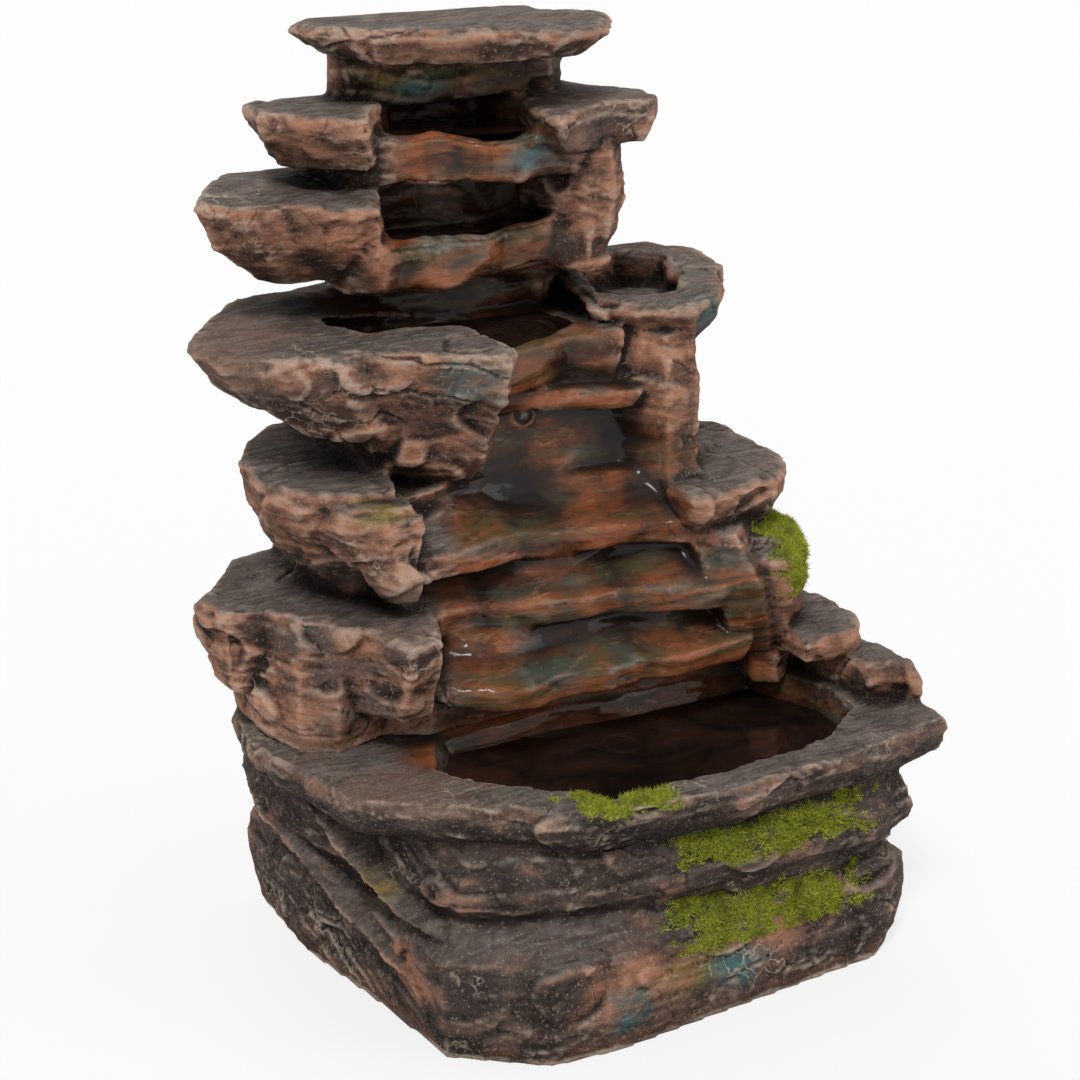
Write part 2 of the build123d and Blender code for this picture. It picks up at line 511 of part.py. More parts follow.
def cascade_rock():
    """Every rock of the cascade fused round its trunk, still solid."""
    rocks = [
        stone(TRUNK_CORNERS, [
            (BASIN_HEIGHT, 1.0), (TRUNK_BEND, TRUNK_TAPER_LOW), (TRUNK_TOP, TRUNK_TAPER_HIGH),
        ], (0.0, BACK_Y)),
        stone(SPINE_CORNERS, [(TRUNK_BEND, 1.0), (CAP_FOOT, SPINE_TAPER)], (SPRING_X, BACK_Y)),
        shelf(CAP_CORNERS, CAP_TOP, CAP_THICK, 0.78),
        stone(BLOCK_CORNERS, rise(BLOCK_FOOT, CAP_FOOT + CAP_BEDDING, [
            (0.0, 0.98), (0.43, 0.95), (1.0, 1.0),
        ])),
        stone(SPLASH_CORNERS, rise(LEDGE_TOP - LEDGE_THICK, LEDGE_TOP, [
            (0.0, 0.9), (0.7, 1.0), (1.0, 0.98),
        ])),
    ]
    lips = [(LIP_1_CORNERS, LIP_1), (LIP_2_CORNERS, LIP_2), (LIP_3_CORNERS, LIP_3), (LIP_4_CORNERS, LIP_4)]
    for corners, level in lips:
        rocks.append(lip(corners, level))
    for corners, level in [(LIP_5_CORNERS, LIP_5), (LIP_6_CORNERS, LIP_6), (LIP_7_CORNERS, LIP_7)]:
        rocks.append(terrace(corners, level))
    return behind_cut(fuse(rocks + left_shelves() + right_rocks()), BASIN_HEIGHT)


def upper_pools():
    """The water pockets cut behind the lips, in the bowl and under the top block."""
    pools = []
    for corners, level in [(POOL_1_CORNERS, LIP_1), (POOL_2_CORNERS, LIP_2), (POOL_3_CORNERS, LIP_3)]:
        pools.append(stone(corners, [
            (level - POOL_DEPTH, POOL_FLOOR_SPREAD), (level, 1.0), (level + POOL_HEADROOM, POOL_ROOF_SPREAD),
        ]))
    pools.append(stone(NICHE_CORNERS, [(LIP_1 - POOL_DEPTH, 1.0), (LIP_1 + NICHE_HEADROOM, NICHE_SPREAD)]))
    pools.append(stone(POOL_4_CORNERS, [
        (LIP_4 - SHELF_POOL_DEPTH, 1.0), (LIP_4 + SHELF_POOL_HEADROOM, 1.0),
    ]))
    pools.append(stone(BOWL_POOL_CORNERS, [
        (BOWL_TOP - BOWL_DEPTH, BOWL_FLOOR_SPREAD), (BOWL_TOP + BOWL_HEADROOM, BOWL_MOUTH_SPREAD),
    ]))
    return pools


def cascade_hollow():
    """Pump chamber and hose shaft inside the cascade."""
    half = SUMP_HALF_WIDTH - SUMP_SHELF
    plan = [(-half, SUMP_BACK_Y), (-half, CHAMBER_FRONT_Y), (half, CHAMBER_FRONT_Y), (half, SUMP_BACK_Y)]
    chamber = stone(plan, [(BASIN_HEIGHT, 1.0), (CHAMBER_TOP, CHAMBER_TAPER)], (HATCH_X, SUMP_BACK_Y))
    shaft = block(
        SPRING_X - SHAFT_WIDTH / 2, SPRING_X + SHAFT_WIDTH / 2, SUMP_BACK_Y - SHAFT_DEPTH, SUMP_BACK_Y,
        CHAMBER_TOP - OVERCUT, OUTLET_FLOOR - SPRING_FLOOR_THICK,
    )
    return chamber + shaft


def hatch_plate(grow, y0, y1):
    """A plate of the hatch's width and height, grown all round."""
    half = HATCH_WIDTH / 2 + grow
    return block(HATCH_X - half, HATCH_X + half, y0, y1, HATCH_FOOT - grow, HATCH_FOOT + HATCH_HEIGHT + grow)


def screw_places():
    """The four corners of the cover flange."""
    out_x = (HATCH_WIDTH + COVER_FLANGE) / 2
    out_z = (HATCH_HEIGHT + COVER_FLANGE) / 2
    mid_z = HATCH_FOOT + HATCH_HEIGHT / 2
    return [(HATCH_X + side * out_x, mid_z + up * out_z) for side in (-1, 1) for up in (-1, 1)]


def lamp_wall_y():
    """Front face of the trunk at the lamp."""
    share = (LAMP_Z - TRUNK_BEND) / (TRUNK_TOP - TRUNK_BEND)
    spread = TRUNK_TAPER_LOW + (TRUNK_TAPER_HIGH - TRUNK_TAPER_LOW) * share
    (x0, y0), (x1, y1) = TRUNK_CORNERS[4], TRUNK_CORNERS[5]
    front = y0 + (y1 - y0) * (LAMP_X / spread - x0) / (x1 - x0)
    return BACK_Y + (front - BACK_Y) * spread


def lamp_seat_y():
    """Front end of the lamp's sleeve, let into the wall."""
    return lamp_wall_y() + LAMP_SINK


def cascade_casting(rock):
    """Hollow cascade with its pools, the hatch, and the holes for the outlet, lamp and cable."""
    casting = rock - cascade_hollow()
    for pool in upper_pools():
        casting = casting - pool
    inside_y = SUMP_BACK_Y - WALL_REACH
    casting = casting - hatch_plate(COVER_FLANGE + COVER_GAP, COVER_SEAT_Y, BACK_Y + OVERCUT)
    casting = casting - hatch_plate(0.0, inside_y, BACK_Y)
    for x, z in screw_places():
        casting = casting - bar_y(
            INSERT_SIDES, INSERT_R + SEAT_GAP, x, COVER_SEAT_Y - INSERT_LENGTH, COVER_SEAT_Y + OVERCUT, z
        )
    casting = casting - rod_y(GROMMET_HOLE_R, GROMMET_X, inside_y, BACK_Y + OVERCUT, GROMMET_Z)
    lamp_front = lamp_wall_y() - WALL_REACH
    casting = casting - rod_y(LAMP_SLEEVE_R + SEAT_GAP, LAMP_X, lamp_front, inside_y, LAMP_Z)
    casting = casting - rod_y(LAMP_LIP_R + SEAT_GAP, LAMP_X, lamp_front, lamp_seat_y() + LAMP_LIP, LAMP_Z)
    hole_foot = OUTLET_FLOOR - SPRING_FLOOR_THICK - OVERCUT
    return casting - rod_z(SPRING_TAIL_R + SEAT_GAP, SPRING_X, SPRING_Y, hole_foot, OUTLET_FLOOR + OVERCUT)


def rear_cover():
    """Service hatch cover: a flange in the recess, a spigot in the hatch and two finger notches."""
    flange = hatch_plate(COVER_FLANGE, COVER_SEAT_Y, BACK_Y)
    spigot = hatch_plate(-COVER_GAP, COVER_SEAT_Y - COVER_SPIGOT, COVER_SEAT_Y)
    hollow = hatch_plate(-COVER_GAP - SPIGOT_WALL, COVER_SEAT_Y - COVER_SPIGOT - OVERCUT, COVER_SEAT_Y)
    cover = flange + spigot - hollow
    mid_z = HATCH_FOOT + HATCH_HEIGHT / 2
    for side in (-1, 1):
        notch_x = HATCH_X + side * (HATCH_WIDTH / 2 + COVER_FLANGE + FINGER_NOTCH_OUT)
        cover = cover - rod_y(FINGER_NOTCH_R, notch_x, BACK_Y - FINGER_NOTCH_DEPTH, BACK_Y + OVERCUT, mid_z)
    for x, z in screw_places():
        cover = cover - bar_y(
            SCREW_SIDES, SCREW_R + SCREW_GAP, x, COVER_SEAT_Y - OVERCUT, BACK_Y + OVERCUT, z
        )
    return cover


def cover_screws():
    """Slotted pan screws in the corners of the cover."""
    screws = []
    for x, z in screw_places():
        screw = bar_y(SCREW_SIDES, SCREW_HEAD_R, x, BACK_Y, BACK_Y + SCREW_HEAD_H, z)
        screw = screw + bar_y(SCREW_SIDES, SCREW_R, x, BACK_Y - SCREW_LENGTH, BACK_Y, z)
        head_top = BACK_Y + SCREW_HEAD_H
        half = SCREW_SLOT / 2
        slot = block(
            x - SCREW_HEAD_R, x + SCREW_HEAD_R, head_top - SCREW_SLOT, head_top + OVERCUT, z - half, z + half
        )
        screws.append(screw - slot)
    return Compound(children=screws)


def cover_inserts():
    """Brass threaded inserts moulded into the casting behind the cover."""
    inserts = []
    for x, z in screw_places():
        inner = COVER_SEAT_Y - INSERT_LENGTH
        insert = bar_y(INSERT_SIDES, INSERT_R, x, inner, COVER_SEAT_Y, z)
        bore = bar_y(SCREW_SIDES, SCREW_R + SCREW_GAP, x, inner - OVERCUT, COVER_SEAT_Y + OVERCUT, z)
        inserts.append(insert - bore)
    return Compound(children=inserts)


def cable_grommet():
    """Rubber grommet in the back wall where the supply lead would pass."""
    body = rod_y(GROMMET_HOLE_R - SEAT_GAP, GROMMET_X, SUMP_BACK_Y - GROMMET_FLANGE, BACK_Y, GROMMET_Z)
    outer = rod_y(GROMMET_FLANGE_R, GROMMET_X, BACK_Y, BACK_Y + GROMMET_FLANGE, GROMMET_Z)
    bore = rod_y(GROMMET_BORE_R, GROMMET_X, SUMP_BACK_Y - WALL_REACH, BACK_Y + WALL_REACH, GROMMET_Z)
    return body + outer - bore


def sump_grille():
    """Slotted plate in the weir that keeps gravel and leaves out of the pump."""
    plate = weir_window(0.0, SUMP_FRONT_Y - GRILLE_THICK, SUMP_FRONT_Y)
    pitch = (GRILLE_WIDTH - 2 * GRILLE_RIM) / GRILLE_SLOTS
    low = GRILLE_FOOT + GRILLE_RIM
    high = GRILLE_FOOT + GRILLE_HEIGHT - GRILLE_RIM
    for i in range(GRILLE_SLOTS):
        x = (i - (GRILLE_SLOTS - 1) / 2) * pitch
        plate = plate - block(
            x - GRILLE_SLOT_WIDTH / 2, x + GRILLE_SLOT_WIDTH / 2, SUMP_FRONT_Y - GRILLE_THICK - OVERCUT,
            SUMP_FRONT_Y + OVERCUT, low, high,
        )
    return plate


# Pump stations along X, and its axis height
PUMP_FOOT = SUMP_FLOOR + CUP_HEIGHT
PUMP_AXIS_Z = PUMP_FOOT + PUMP_HEIGHT / 2
VOLUTE_BACK = PUMP_X - VOLUTE_LENGTH / 2
VOLUTE_FRONT = VOLUTE_BACK + VOLUTE_LENGTH
MOTOR_BACK = VOLUTE_BACK - MOTOR_LENGTH
STRAINER_FRONT = VOLUTE_FRONT + STRAINER_LENGTH
SPIGOT_TOP = PUMP_FOOT + PUMP_HEIGHT + SPIGOT_HEIGHT
SLIDER_FOOT = PUMP_FOOT + PUMP_FILLET + SLIDER_REST
BUSH_FRONT_X = VOLUTE_BACK + CHAMBER_DEPTH - BUSH_PROUD
BUSH_BACK_X = VOLUTE_BACK - WELL_DEPTH - BUSH_LENGTH
IMPELLER_BACK = VOLUTE_BACK + (CHAMBER_DEPTH - BUSH_PROUD - IMPELLER_WIDTH) / 2
GLAND_INNER_X = MOTOR_BACK + CABLE_GLAND_LENGTH / 2
GLAND_Z = PUMP_FOOT + PUMP_HEIGHT - CABLE_GLAND_R - PUMP_FILLET


def pump_block(x0, x1):
    """A length of the pump's rounded square body."""
    body = block(
        x0, x1, PUMP_Y - PUMP_WIDTH / 2, PUMP_Y + PUMP_WIDTH / 2, PUMP_FOOT, PUMP_FOOT + PUMP_HEIGHT
    )
    return fillet(body.edges().filter_by(Axis.X), PUMP_FILLET)


def cup_places():
    """Where the four suction cups sit under the motor block."""
    return [
        (x, PUMP_Y + side * (PUMP_WIDTH / 2 - CUP_INSET))
        for x in (MOTOR_BACK + CUP_INSET, VOLUTE_BACK - CUP_INSET) for side in (-1, 1)
    ]


def pump_housing():
    """Potted motor block with the rotor well, cup holes and the cable socket."""
    body = pump_block(MOTOR_BACK, VOLUTE_BACK)
    body = body - rod_x(WELL_R, VOLUTE_BACK - WELL_DEPTH, VOLUTE_BACK + OVERCUT, PUMP_Y, PUMP_AXIS_Z)
    body = body - rod_x(BUSH_R + SEAT_GAP, BUSH_BACK_X, VOLUTE_BACK, PUMP_Y, PUMP_AXIS_Z)
    for x, y in cup_places():
        outline = ring_corners(CUP_STUD_R + SEAT_GAP)
        hole = stone(outline, [(-OVERCUT, 1.0), (CUP_STUD + SEAT_GAP, 1.0)], ORIGIN)
        body = body - Pos(x, y, PUMP_FOOT) * hole
    return body - rod_x(CABLE_GLAND_R + SEAT_GAP, MOTOR_BACK - OVERCUT, GLAND_INNER_X, PUMP_Y, GLAND_Z)


def pump_cable_gland():
    """Rubber gland where the lead enters the motor block."""
    outer = GLAND_INNER_X - CABLE_GLAND_LENGTH
    gland = rod_x(CABLE_GLAND_R, outer, GLAND_INNER_X, PUMP_Y, GLAND_Z)
    bore_end = GLAND_INNER_X - CABLE_GLAND_FLOOR
    return gland - rod_x(CABLE_GLAND_BORE_R, outer - OVERCUT, bore_end, PUMP_Y, GLAND_Z)


def volute_seal():
    """Flat rubber gasket between the motor block and the volute."""
    gasket = pump_block(VOLUTE_BACK, VOLUTE_BACK + GASKET_THICK)
    hole_end = VOLUTE_BACK + GASKET_THICK + OVERCUT
    return gasket - rod_x(CHAMBER_R, VOLUTE_BACK - OVERCUT, hole_end, PUMP_Y, PUMP_AXIS_Z)


def pump_volute():
    """Impeller chamber with a spoked inlet that holds the front bush, and the hose spigot."""
    body = pump_block(VOLUTE_BACK + GASKET_THICK, VOLUTE_FRONT)
    body = body - rod_x(CHAMBER_R, VOLUTE_BACK - OVERCUT, VOLUTE_BACK + CHAMBER_DEPTH, PUMP_Y, PUMP_AXIS_Z)
    inlet = rod_x(INLET_R, VOLUTE_BACK, VOLUTE_FRONT + OVERCUT, PUMP_Y, PUMP_AXIS_Z)
    inlet = inlet - rod_x(BUSH_R + BUSH_WALL, VOLUTE_BACK, VOLUTE_FRONT + 2 * OVERCUT, PUMP_Y, PUMP_AXIS_Z)
    spoke = Pos(0, 0, INLET_R / 2) * Box(VOLUTE_LENGTH * 2, SPOKE_WIDTH, INLET_R * 1.2)
    for i in range(INLET_SPOKES):
        inlet = inlet - Pos(PUMP_X, PUMP_Y, PUMP_AXIS_Z) * Rot(360.0 * i / INLET_SPOKES, 0, 0) * spoke
    body = body - inlet
    body = body - rod_x(BUSH_R + SEAT_GAP, VOLUTE_BACK, BUSH_FRONT_X + BUSH_LENGTH, PUMP_Y, PUMP_AXIS_Z)
    spigot = rod_z(SPIGOT_R, PUMP_X, PUMP_Y, PUMP_FOOT + PUMP_HEIGHT - OVERCUT, SPIGOT_TOP)
    spigot_bore = rod_z(SPIGOT_BORE_R, PUMP_X, PUMP_Y, PUMP_AXIS_Z + IMPELLER_R, SPIGOT_TOP + OVERCUT)
    return body + spigot - spigot_bore


def shaft_bushes():
    """Rubber bushes that hold the ends of the ceramic shaft."""
    bushes = []
    for x0 in (BUSH_BACK_X, BUSH_FRONT_X):
        bush = rod_x(BUSH_R, x0, x0 + BUSH_LENGTH, PUMP_Y, PUMP_AXIS_Z)
        bore_end = x0 + BUSH_LENGTH + OVERCUT
        bushes.append(bush - rod_x(SHAFT_R + SEAT_GAP, x0 - OVERCUT, bore_end, PUMP_Y, PUMP_AXIS_Z))
    return Compound(children=bushes)


def rotor_shaft():
    """Ceramic shaft that the rotor turns on."""
    shaft_front = BUSH_FRONT_X + BUSH_LENGTH - SHAFT_INSET
    return rod_x(SHAFT_R, BUSH_BACK_X + SHAFT_INSET, shaft_front, PUMP_Y, PUMP_AXIS_Z)


def impeller():
    """Open impeller: a hub with a back disc and radial vanes."""
    hub = rod_x(IMPELLER_HUB_R, IMPELLER_BACK, IMPELLER_BACK + IMPELLER_WIDTH, PUMP_Y, PUMP_AXIS_Z)
    disc = rod_x(IMPELLER_R, IMPELLER_BACK, IMPELLER_BACK + VANE_THICK, PUMP_Y, PUMP_AXIS_Z)
    wheel = hub + disc
    mid_x = IMPELLER_BACK + IMPELLER_WIDTH / 2
    reach = (IMPELLER_R + IMPELLER_HUB_R) / 2
    for i in range(IMPELLER_VANES):
        turn = 360.0 * i / IMPELLER_VANES
        vane = Box(IMPELLER_WIDTH, VANE_THICK, IMPELLER_R - IMPELLER_HUB_R + OVERCUT)
        y = PUMP_Y - reach * sin(radians(turn))
        z = PUMP_AXIS_Z + reach * cos(radians(turn))
        wheel = wheel + Pos(mid_x, y, z) * Rot(turn, 0, 0) * vane
    rim = rod_x(IMPELLER_R, IMPELLER_BACK, IMPELLER_BACK + IMPELLER_WIDTH, PUMP_Y, PUMP_AXIS_Z)
    bore_end = IMPELLER_BACK + IMPELLER_WIDTH + OVERCUT
    bore = rod_x(SHAFT_R + SHAFT_GAP, IMPELLER_BACK - OVERCUT, bore_end, PUMP_Y, PUMP_AXIS_Z)
    return (wheel & rim) - bore


def rotor_magnet():
    """Ferrite rotor magnet behind the impeller."""
    back = IMPELLER_BACK - MAGNET_LENGTH
    magnet = rod_x(MAGNET_R, back, IMPELLER_BACK, PUMP_Y, PUMP_AXIS_Z)
    bore_end = IMPELLER_BACK + OVERCUT
    return magnet - rod_x(SHAFT_R + SHAFT_GAP, back - OVERCUT, bore_end, PUMP_Y, PUMP_AXIS_Z)


def pump_strainer():
    """Slotted strainer that snaps on the volute, with two rails for the flow slider."""
    body = pump_block(VOLUTE_FRONT, STRAINER_FRONT)
    half = PUMP_WIDTH / 2 - STRAINER_WALL
    body = body - block(
        VOLUTE_FRONT - OVERCUT, STRAINER_FRONT - STRAINER_WALL, PUMP_Y - half, PUMP_Y + half,
        PUMP_FOOT + STRAINER_WALL, PUMP_FOOT + PUMP_HEIGHT - STRAINER_WALL,
    )
    pitch = (PUMP_WIDTH - 2 * PUMP_FILLET) / STRAINER_SLOTS
    for i in range(STRAINER_SLOTS):
        y = PUMP_Y + (i - (STRAINER_SLOTS - 1) / 2) * pitch
        body = body - block(
            STRAINER_FRONT - STRAINER_WALL - OVERCUT, STRAINER_FRONT + OVERCUT, y - STRAINER_SLOT_WIDTH / 2,
            y + STRAINER_SLOT_WIDTH / 2, PUMP_FOOT + PUMP_FILLET, PUMP_FOOT + PUMP_HEIGHT - PUMP_FILLET,
        )
    rail_top = SLIDER_FOOT + SLIDER_HEIGHT + SLIDER_TRAVEL + SLIDER_REST
    rail_inner = SLIDER_WIDTH / 2 + SLIDER_GAP
    hook_back = STRAINER_FRONT + SLIDER_THICK + 2 * SLIDER_GAP
    hook_front = hook_back + RAIL_THICK / 2
    for side in (-1, 1):
        outer = PUMP_Y + side * (rail_inner + RAIL_THICK)
        y0, y1 = sorted((PUMP_Y + side * rail_inner, outer))
        y2, y3 = sorted((outer, PUMP_Y + side * (rail_inner - RAIL_THICK)))
        rail_foot = PUMP_FOOT + PUMP_FILLET
        web = block(STRAINER_FRONT - STRAINER_WALL / 2, hook_front, y0, y1, rail_foot, rail_top)
        hook = block(hook_back, hook_front, y2, y3, rail_foot, rail_top)
        body = body + web + hook
    return body


def flow_slider():
    """Sliding shutter on the strainer that throttles the pump, with a ridged thumb tab."""
    back = STRAINER_FRONT + SLIDER_GAP
    plate = block(
        back, back + SLIDER_THICK, PUMP_Y - SLIDER_WIDTH / 2, PUMP_Y + SLIDER_WIDTH / 2,
        SLIDER_FOOT, SLIDER_FOOT + SLIDER_HEIGHT,
    )
    tab_half = SLIDER_WIDTH / 2 - 2 * RAIL_THICK
    tab_front = back + SLIDER_THICK + RIDGE_RISE
    for i in range(RIDGES):
        ridge_z = SLIDER_FOOT + SLIDER_HEIGHT / 2 + (i - (RIDGES - 1) / 2) * RIDGE_PITCH
        low = ridge_z - RIDGE_PITCH / 4
        high = ridge_z + RIDGE_PITCH / 4
        plate = plate + block(back, tab_front, PUMP_Y - tab_half, PUMP_Y + tab_half, low, high)
    return plate


def ring_corners(radius):
    """Corners of a small round foot."""
    step = 360.0 / CUP_SIDES
    return [(radius * cos(radians(i * step)), radius * sin(radians(i * step))) for i in range(CUP_SIDES)]


def suction_cups():
    """Rubber suction cups under the pump, each with a stud in the motor block."""
    cups = []
    for x, y in cup_places():
        outline = ring_corners(CUP_R)
        skirt = stone(outline, rise(-CUP_HEIGHT, 0.0, [(0.0, 1.0), (0.5, 0.62), (1.0, 0.5)]), ORIGIN)
        dish = stone(outline, rise(-CUP_HEIGHT, 0.0, [(-0.1, 0.9), (0.45, 0.2)]), ORIGIN)
        stud = stone(ring_corners(CUP_STUD_R), [(-OVERCUT, 1.0), (CUP_STUD, 1.0)], ORIGIN)
        cups.append(Pos(x, y, PUMP_FOOT) * (skirt - dish + stud))
    return Compound(children=cups)


# Ends of the riser hose: below the outlet's nut, and over the pump's spigot
HOSE_TOP = OUTLET_FLOOR - SPRING_FLOOR_THICK - SEAL_THICK - NUT_THICK - HOSE_CLEAR
HOSE_FOOT = SPIGOT_TOP - HOSE_GRIP


def hose_path():
    """Centre line of the riser hose: two upright runs joined by a sloping one."""
    points = [
        (PUMP_X, PUMP_Y, HOSE_FOOT), (PUMP_X, PUMP_Y, HOSE_LOW_BEND),
        (SPRING_X, SPRING_Y, HOSE_HIGH_BEND), (SPRING_X, SPRING_Y, HOSE_TOP),
    ]
    return FilletPolyline(*points, radius=HOSE_BEND_R)


def riser_hose():
    """Soft hose from the pump's spigot to the outlet under the top pool."""
    path = hose_path()
    start = Plane((PUMP_X, PUMP_Y, HOSE_FOOT))
    outer = sweep(start * Circle(HOSE_R), path=path)
    bore = sweep(start * Circle(HOSE_BORE_R), path=path)
    hose = outer - bore
    swept_volume = pi * (HOSE_R**2 - HOSE_BORE_R**2) * path.length
    print("riser hose length", round(path.length, 1), "bend radius", HOSE_BEND_R)
    print("riser hose volume", round(hose.volume, 1), "section times length", round(swept_volume, 1))
    return hose


def hose_clamps():
    """Spring clamps round the two ends of the hose, each with a pair of squeeze ears."""
    clamps = []
    inner = HOSE_R + CLAMP_GAP
    places = [
        (PUMP_X, PUMP_Y, HOSE_FOOT + HOSE_GRIP / 2),
        (SPRING_X, SPRING_Y, HOSE_TOP - HOSE_GRIP / 2),
    ]
    for x, y, z in places:
        band = Cylinder(inner + CLAMP_THICK, CLAMP_WIDTH)
        for side in (-1, 1):
            ear = Box(CLAMP_EAR, CLAMP_THICK, CLAMP_WIDTH)
            band = band + Pos(inner + CLAMP_EAR / 2, side * CLAMP_THICK * 1.5, 0) * ear
        split = Pos(inner + CLAMP_EAR / 2, 0, 0) * Box(CLAMP_EAR * 2, CLAMP_THICK * 2, CLAMP_WIDTH * 2)
        band = band - split - Cylinder(inner, CLAMP_WIDTH * 2)
        clamps.append(Pos(x, y, z) * band)
    return Compound(children=clamps)


def spring_outlet():
    """Flanged tube through the floor of the top pool, with a tail for the hose."""
    tail_end = OUTLET_FLOOR - SPRING_TAIL
    outlet = rod_z(SPRING_TAIL_R, SPRING_X, SPRING_Y, tail_end, OUTLET_FLOOR)
    outlet = outlet + rod_z(SPRING_FLANGE_R, SPRING_X, SPRING_Y, OUTLET_FLOOR, OUTLET_FLOOR + SPRING_FLANGE)
    mouth = OUTLET_FLOOR + SPRING_FLANGE + OVERCUT
    return outlet - rod_z(SPRING_BORE_R, SPRING_X, SPRING_Y, tail_end - OVERCUT, mouth)


def outlet_seal():
    """Flat rubber washer under the pool floor."""
    top = OUTLET_FLOOR - SPRING_FLOOR_THICK
    washer = rod_z(NUT_R, SPRING_X, SPRING_Y, top - SEAL_THICK, top)
    hole_foot = top - SEAL_THICK - OVERCUT
    return washer - rod_z(SPRING_TAIL_R + SEAT_GAP, SPRING_X, SPRING_Y, hole_foot, top + OVERCUT)


def outlet_nut():
    """Hexagon nut that clamps the outlet to the pool floor."""
    top = OUTLET_FLOOR - SPRING_FLOOR_THICK - SEAL_THICK
    nut = extrude(Plane((SPRING_X, SPRING_Y, top - NUT_THICK)) * RegularPolygon(NUT_R, 6), NUT_THICK)
    hole_foot = top - NUT_THICK - OVERCUT
    return nut - rod_z(SPRING_TAIL_R + SEAT_GAP, SPRING_X, SPRING_Y, hole_foot, top + OVERCUT)


def lamp_sleeve():
    """Rubber sleeve that seals the lamp into the rock."""
    front = lamp_seat_y()
    sleeve = rod_y(LAMP_SLEEVE_R, LAMP_X, front, front + LAMP_SLEEVE_LENGTH, LAMP_Z)
    lip_ring = rod_y(LAMP_LIP_R, LAMP_X, front, front + LAMP_LIP, LAMP_Z)
    bore_end = front + LAMP_SLEEVE_LENGTH + OVERCUT
    return sleeve + lip_ring - rod_y(LAMP_R + SEAT_GAP, LAMP_X, front - OVERCUT, bore_end, LAMP_Z)


def lamp_lens():
    """Clear lamp body with a domed nose."""
    front = lamp_seat_y()
    body = rod_y(LAMP_R, LAMP_X, front, front + LAMP_LENGTH, LAMP_Z)
    return body + Pos(LAMP_X, front, LAMP_Z) * Sphere(LAMP_R)


def moss_skin(corners, levels, pivot, patch, rock):
    """Flock pad of even depth over part of a stone."""
    mid_x, mid_y = pivot
    span = max(abs(x - mid_x) + abs(y - mid_y) for x, y in corners)
    wider = 1.0 + MOSS_DEPTH / span
    grown = [(level + MOSS_DEPTH, spread * wider, *drift) for level, spread, *drift in levels]
    return largest((stone(corners, grown, pivot) & patch) - rock)


def moss_rim():
    """Moss on the flat front of the rim."""
    foot = BASIN_HEIGHT + MOSS_SEAT_GAP
    return stone(MOSS_RIM_CORNERS, rise(foot, foot + MOSS_DEPTH, [(0.0, 1.0), (0.5, 0.97), (1.0, 0.8)]))


def moss_ledge_upper(rock):
    """Moss in the groove under the rim."""
    top = STRATUM_2_TOP - MOSS_UPPER_DROP
    patch = block(MOSS_LEDGE_LEFT, MOSS_LEDGE_RIGHT, -REACH, MOSS_LEDGE_BACK, top - MOSS_UPPER_HEIGHT, top)
    return moss_skin(LEDGE_CORNERS, STRATUM_2_LEVELS, ORIGIN, patch, rock)


def moss_ledge_lower(rock):
    """Moss on the top of the lowest stratum."""
    top = STRATUM_1_TOP - MOSS_LOWER_DROP
    patch = block(MOSS_LEDGE_LEFT, MOSS_LEDGE_RIGHT, -REACH, MOSS_LEDGE_BACK, top - MOSS_LOWER_HEIGHT, top)
    return moss_skin(FOOT_CORNERS, STRATUM_1_LEVELS, ORIGIN, patch, rock)


def moss_shoulder(rock):
    """Moss on the rock at the right of the cascade."""
    patch = block(MOSS_ROCK_LEFT, REACH, -REACH, MOSS_ROCK_BACK, MOSS_ROCK_TOP - MOSS_ROCK_DROP, REACH)
    return moss_skin(MOSS_ROCK_CORNERS, MOSS_ROCK_LEVELS, middle_of(MOSS_ROCK_CORNERS), patch, rock)


def main():
    """Build every piece and write one file for each."""
    os.makedirs("parts", exist_ok=True)
    solid_basin = basin_rock()
    solid_cascade = cascade_rock()
    pieces = {
        "basin_casting": basin_casting(solid_basin),
        "cascade_casting": cascade_casting(solid_cascade),
        "rear_cover": rear_cover(),
        "cover_screws": cover_screws(),
        "cover_inserts": cover_inserts(),
        "cable_grommet": cable_grommet(),
        "sump_grille": sump_grille(),
        "pump_housing": pump_housing(),
        "pump_cable_gland": pump_cable_gland(),
        "volute_seal": volute_seal(),
        "pump_volute": pump_volute(),
        "shaft_bushes": shaft_bushes(),
        "rotor_shaft": rotor_shaft(),
        "impeller": impeller(),
        "rotor_magnet": rotor_magnet(),
        "pump_strainer": pump_strainer(),
        "flow_slider": flow_slider(),
        "suction_cups": suction_cups(),
        "riser_hose": riser_hose(),
        "hose_clamps": hose_clamps(),
        "spring_outlet": spring_outlet(),
        "outlet_seal": outlet_seal(),
        "outlet_nut": outlet_nut(),
        "lamp_sleeve": lamp_sleeve(),
        "lamp_lens": lamp_lens(),
        "moss_rim": moss_rim(),
        "moss_ledge_upper": moss_ledge_upper(solid_basin),
        "moss_ledge_lower": moss_ledge_lower(solid_basin),
        "moss_shoulder": moss_shoulder(solid_cascade),
    }
    for node, shape in pieces.items():
        export_step(shape, f"parts/{node}.step")
    print("pieces", len(pieces))


main()
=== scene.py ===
"""Looks of a tabletop water fountain: a painted rock cascade over a basin, with moss, water, pump."""
import bmesh
import bpy
import numpy as np
from math import pi, radians
from mathutils import Matrix, Vector
from mathutils.bvhtree import BVHTree


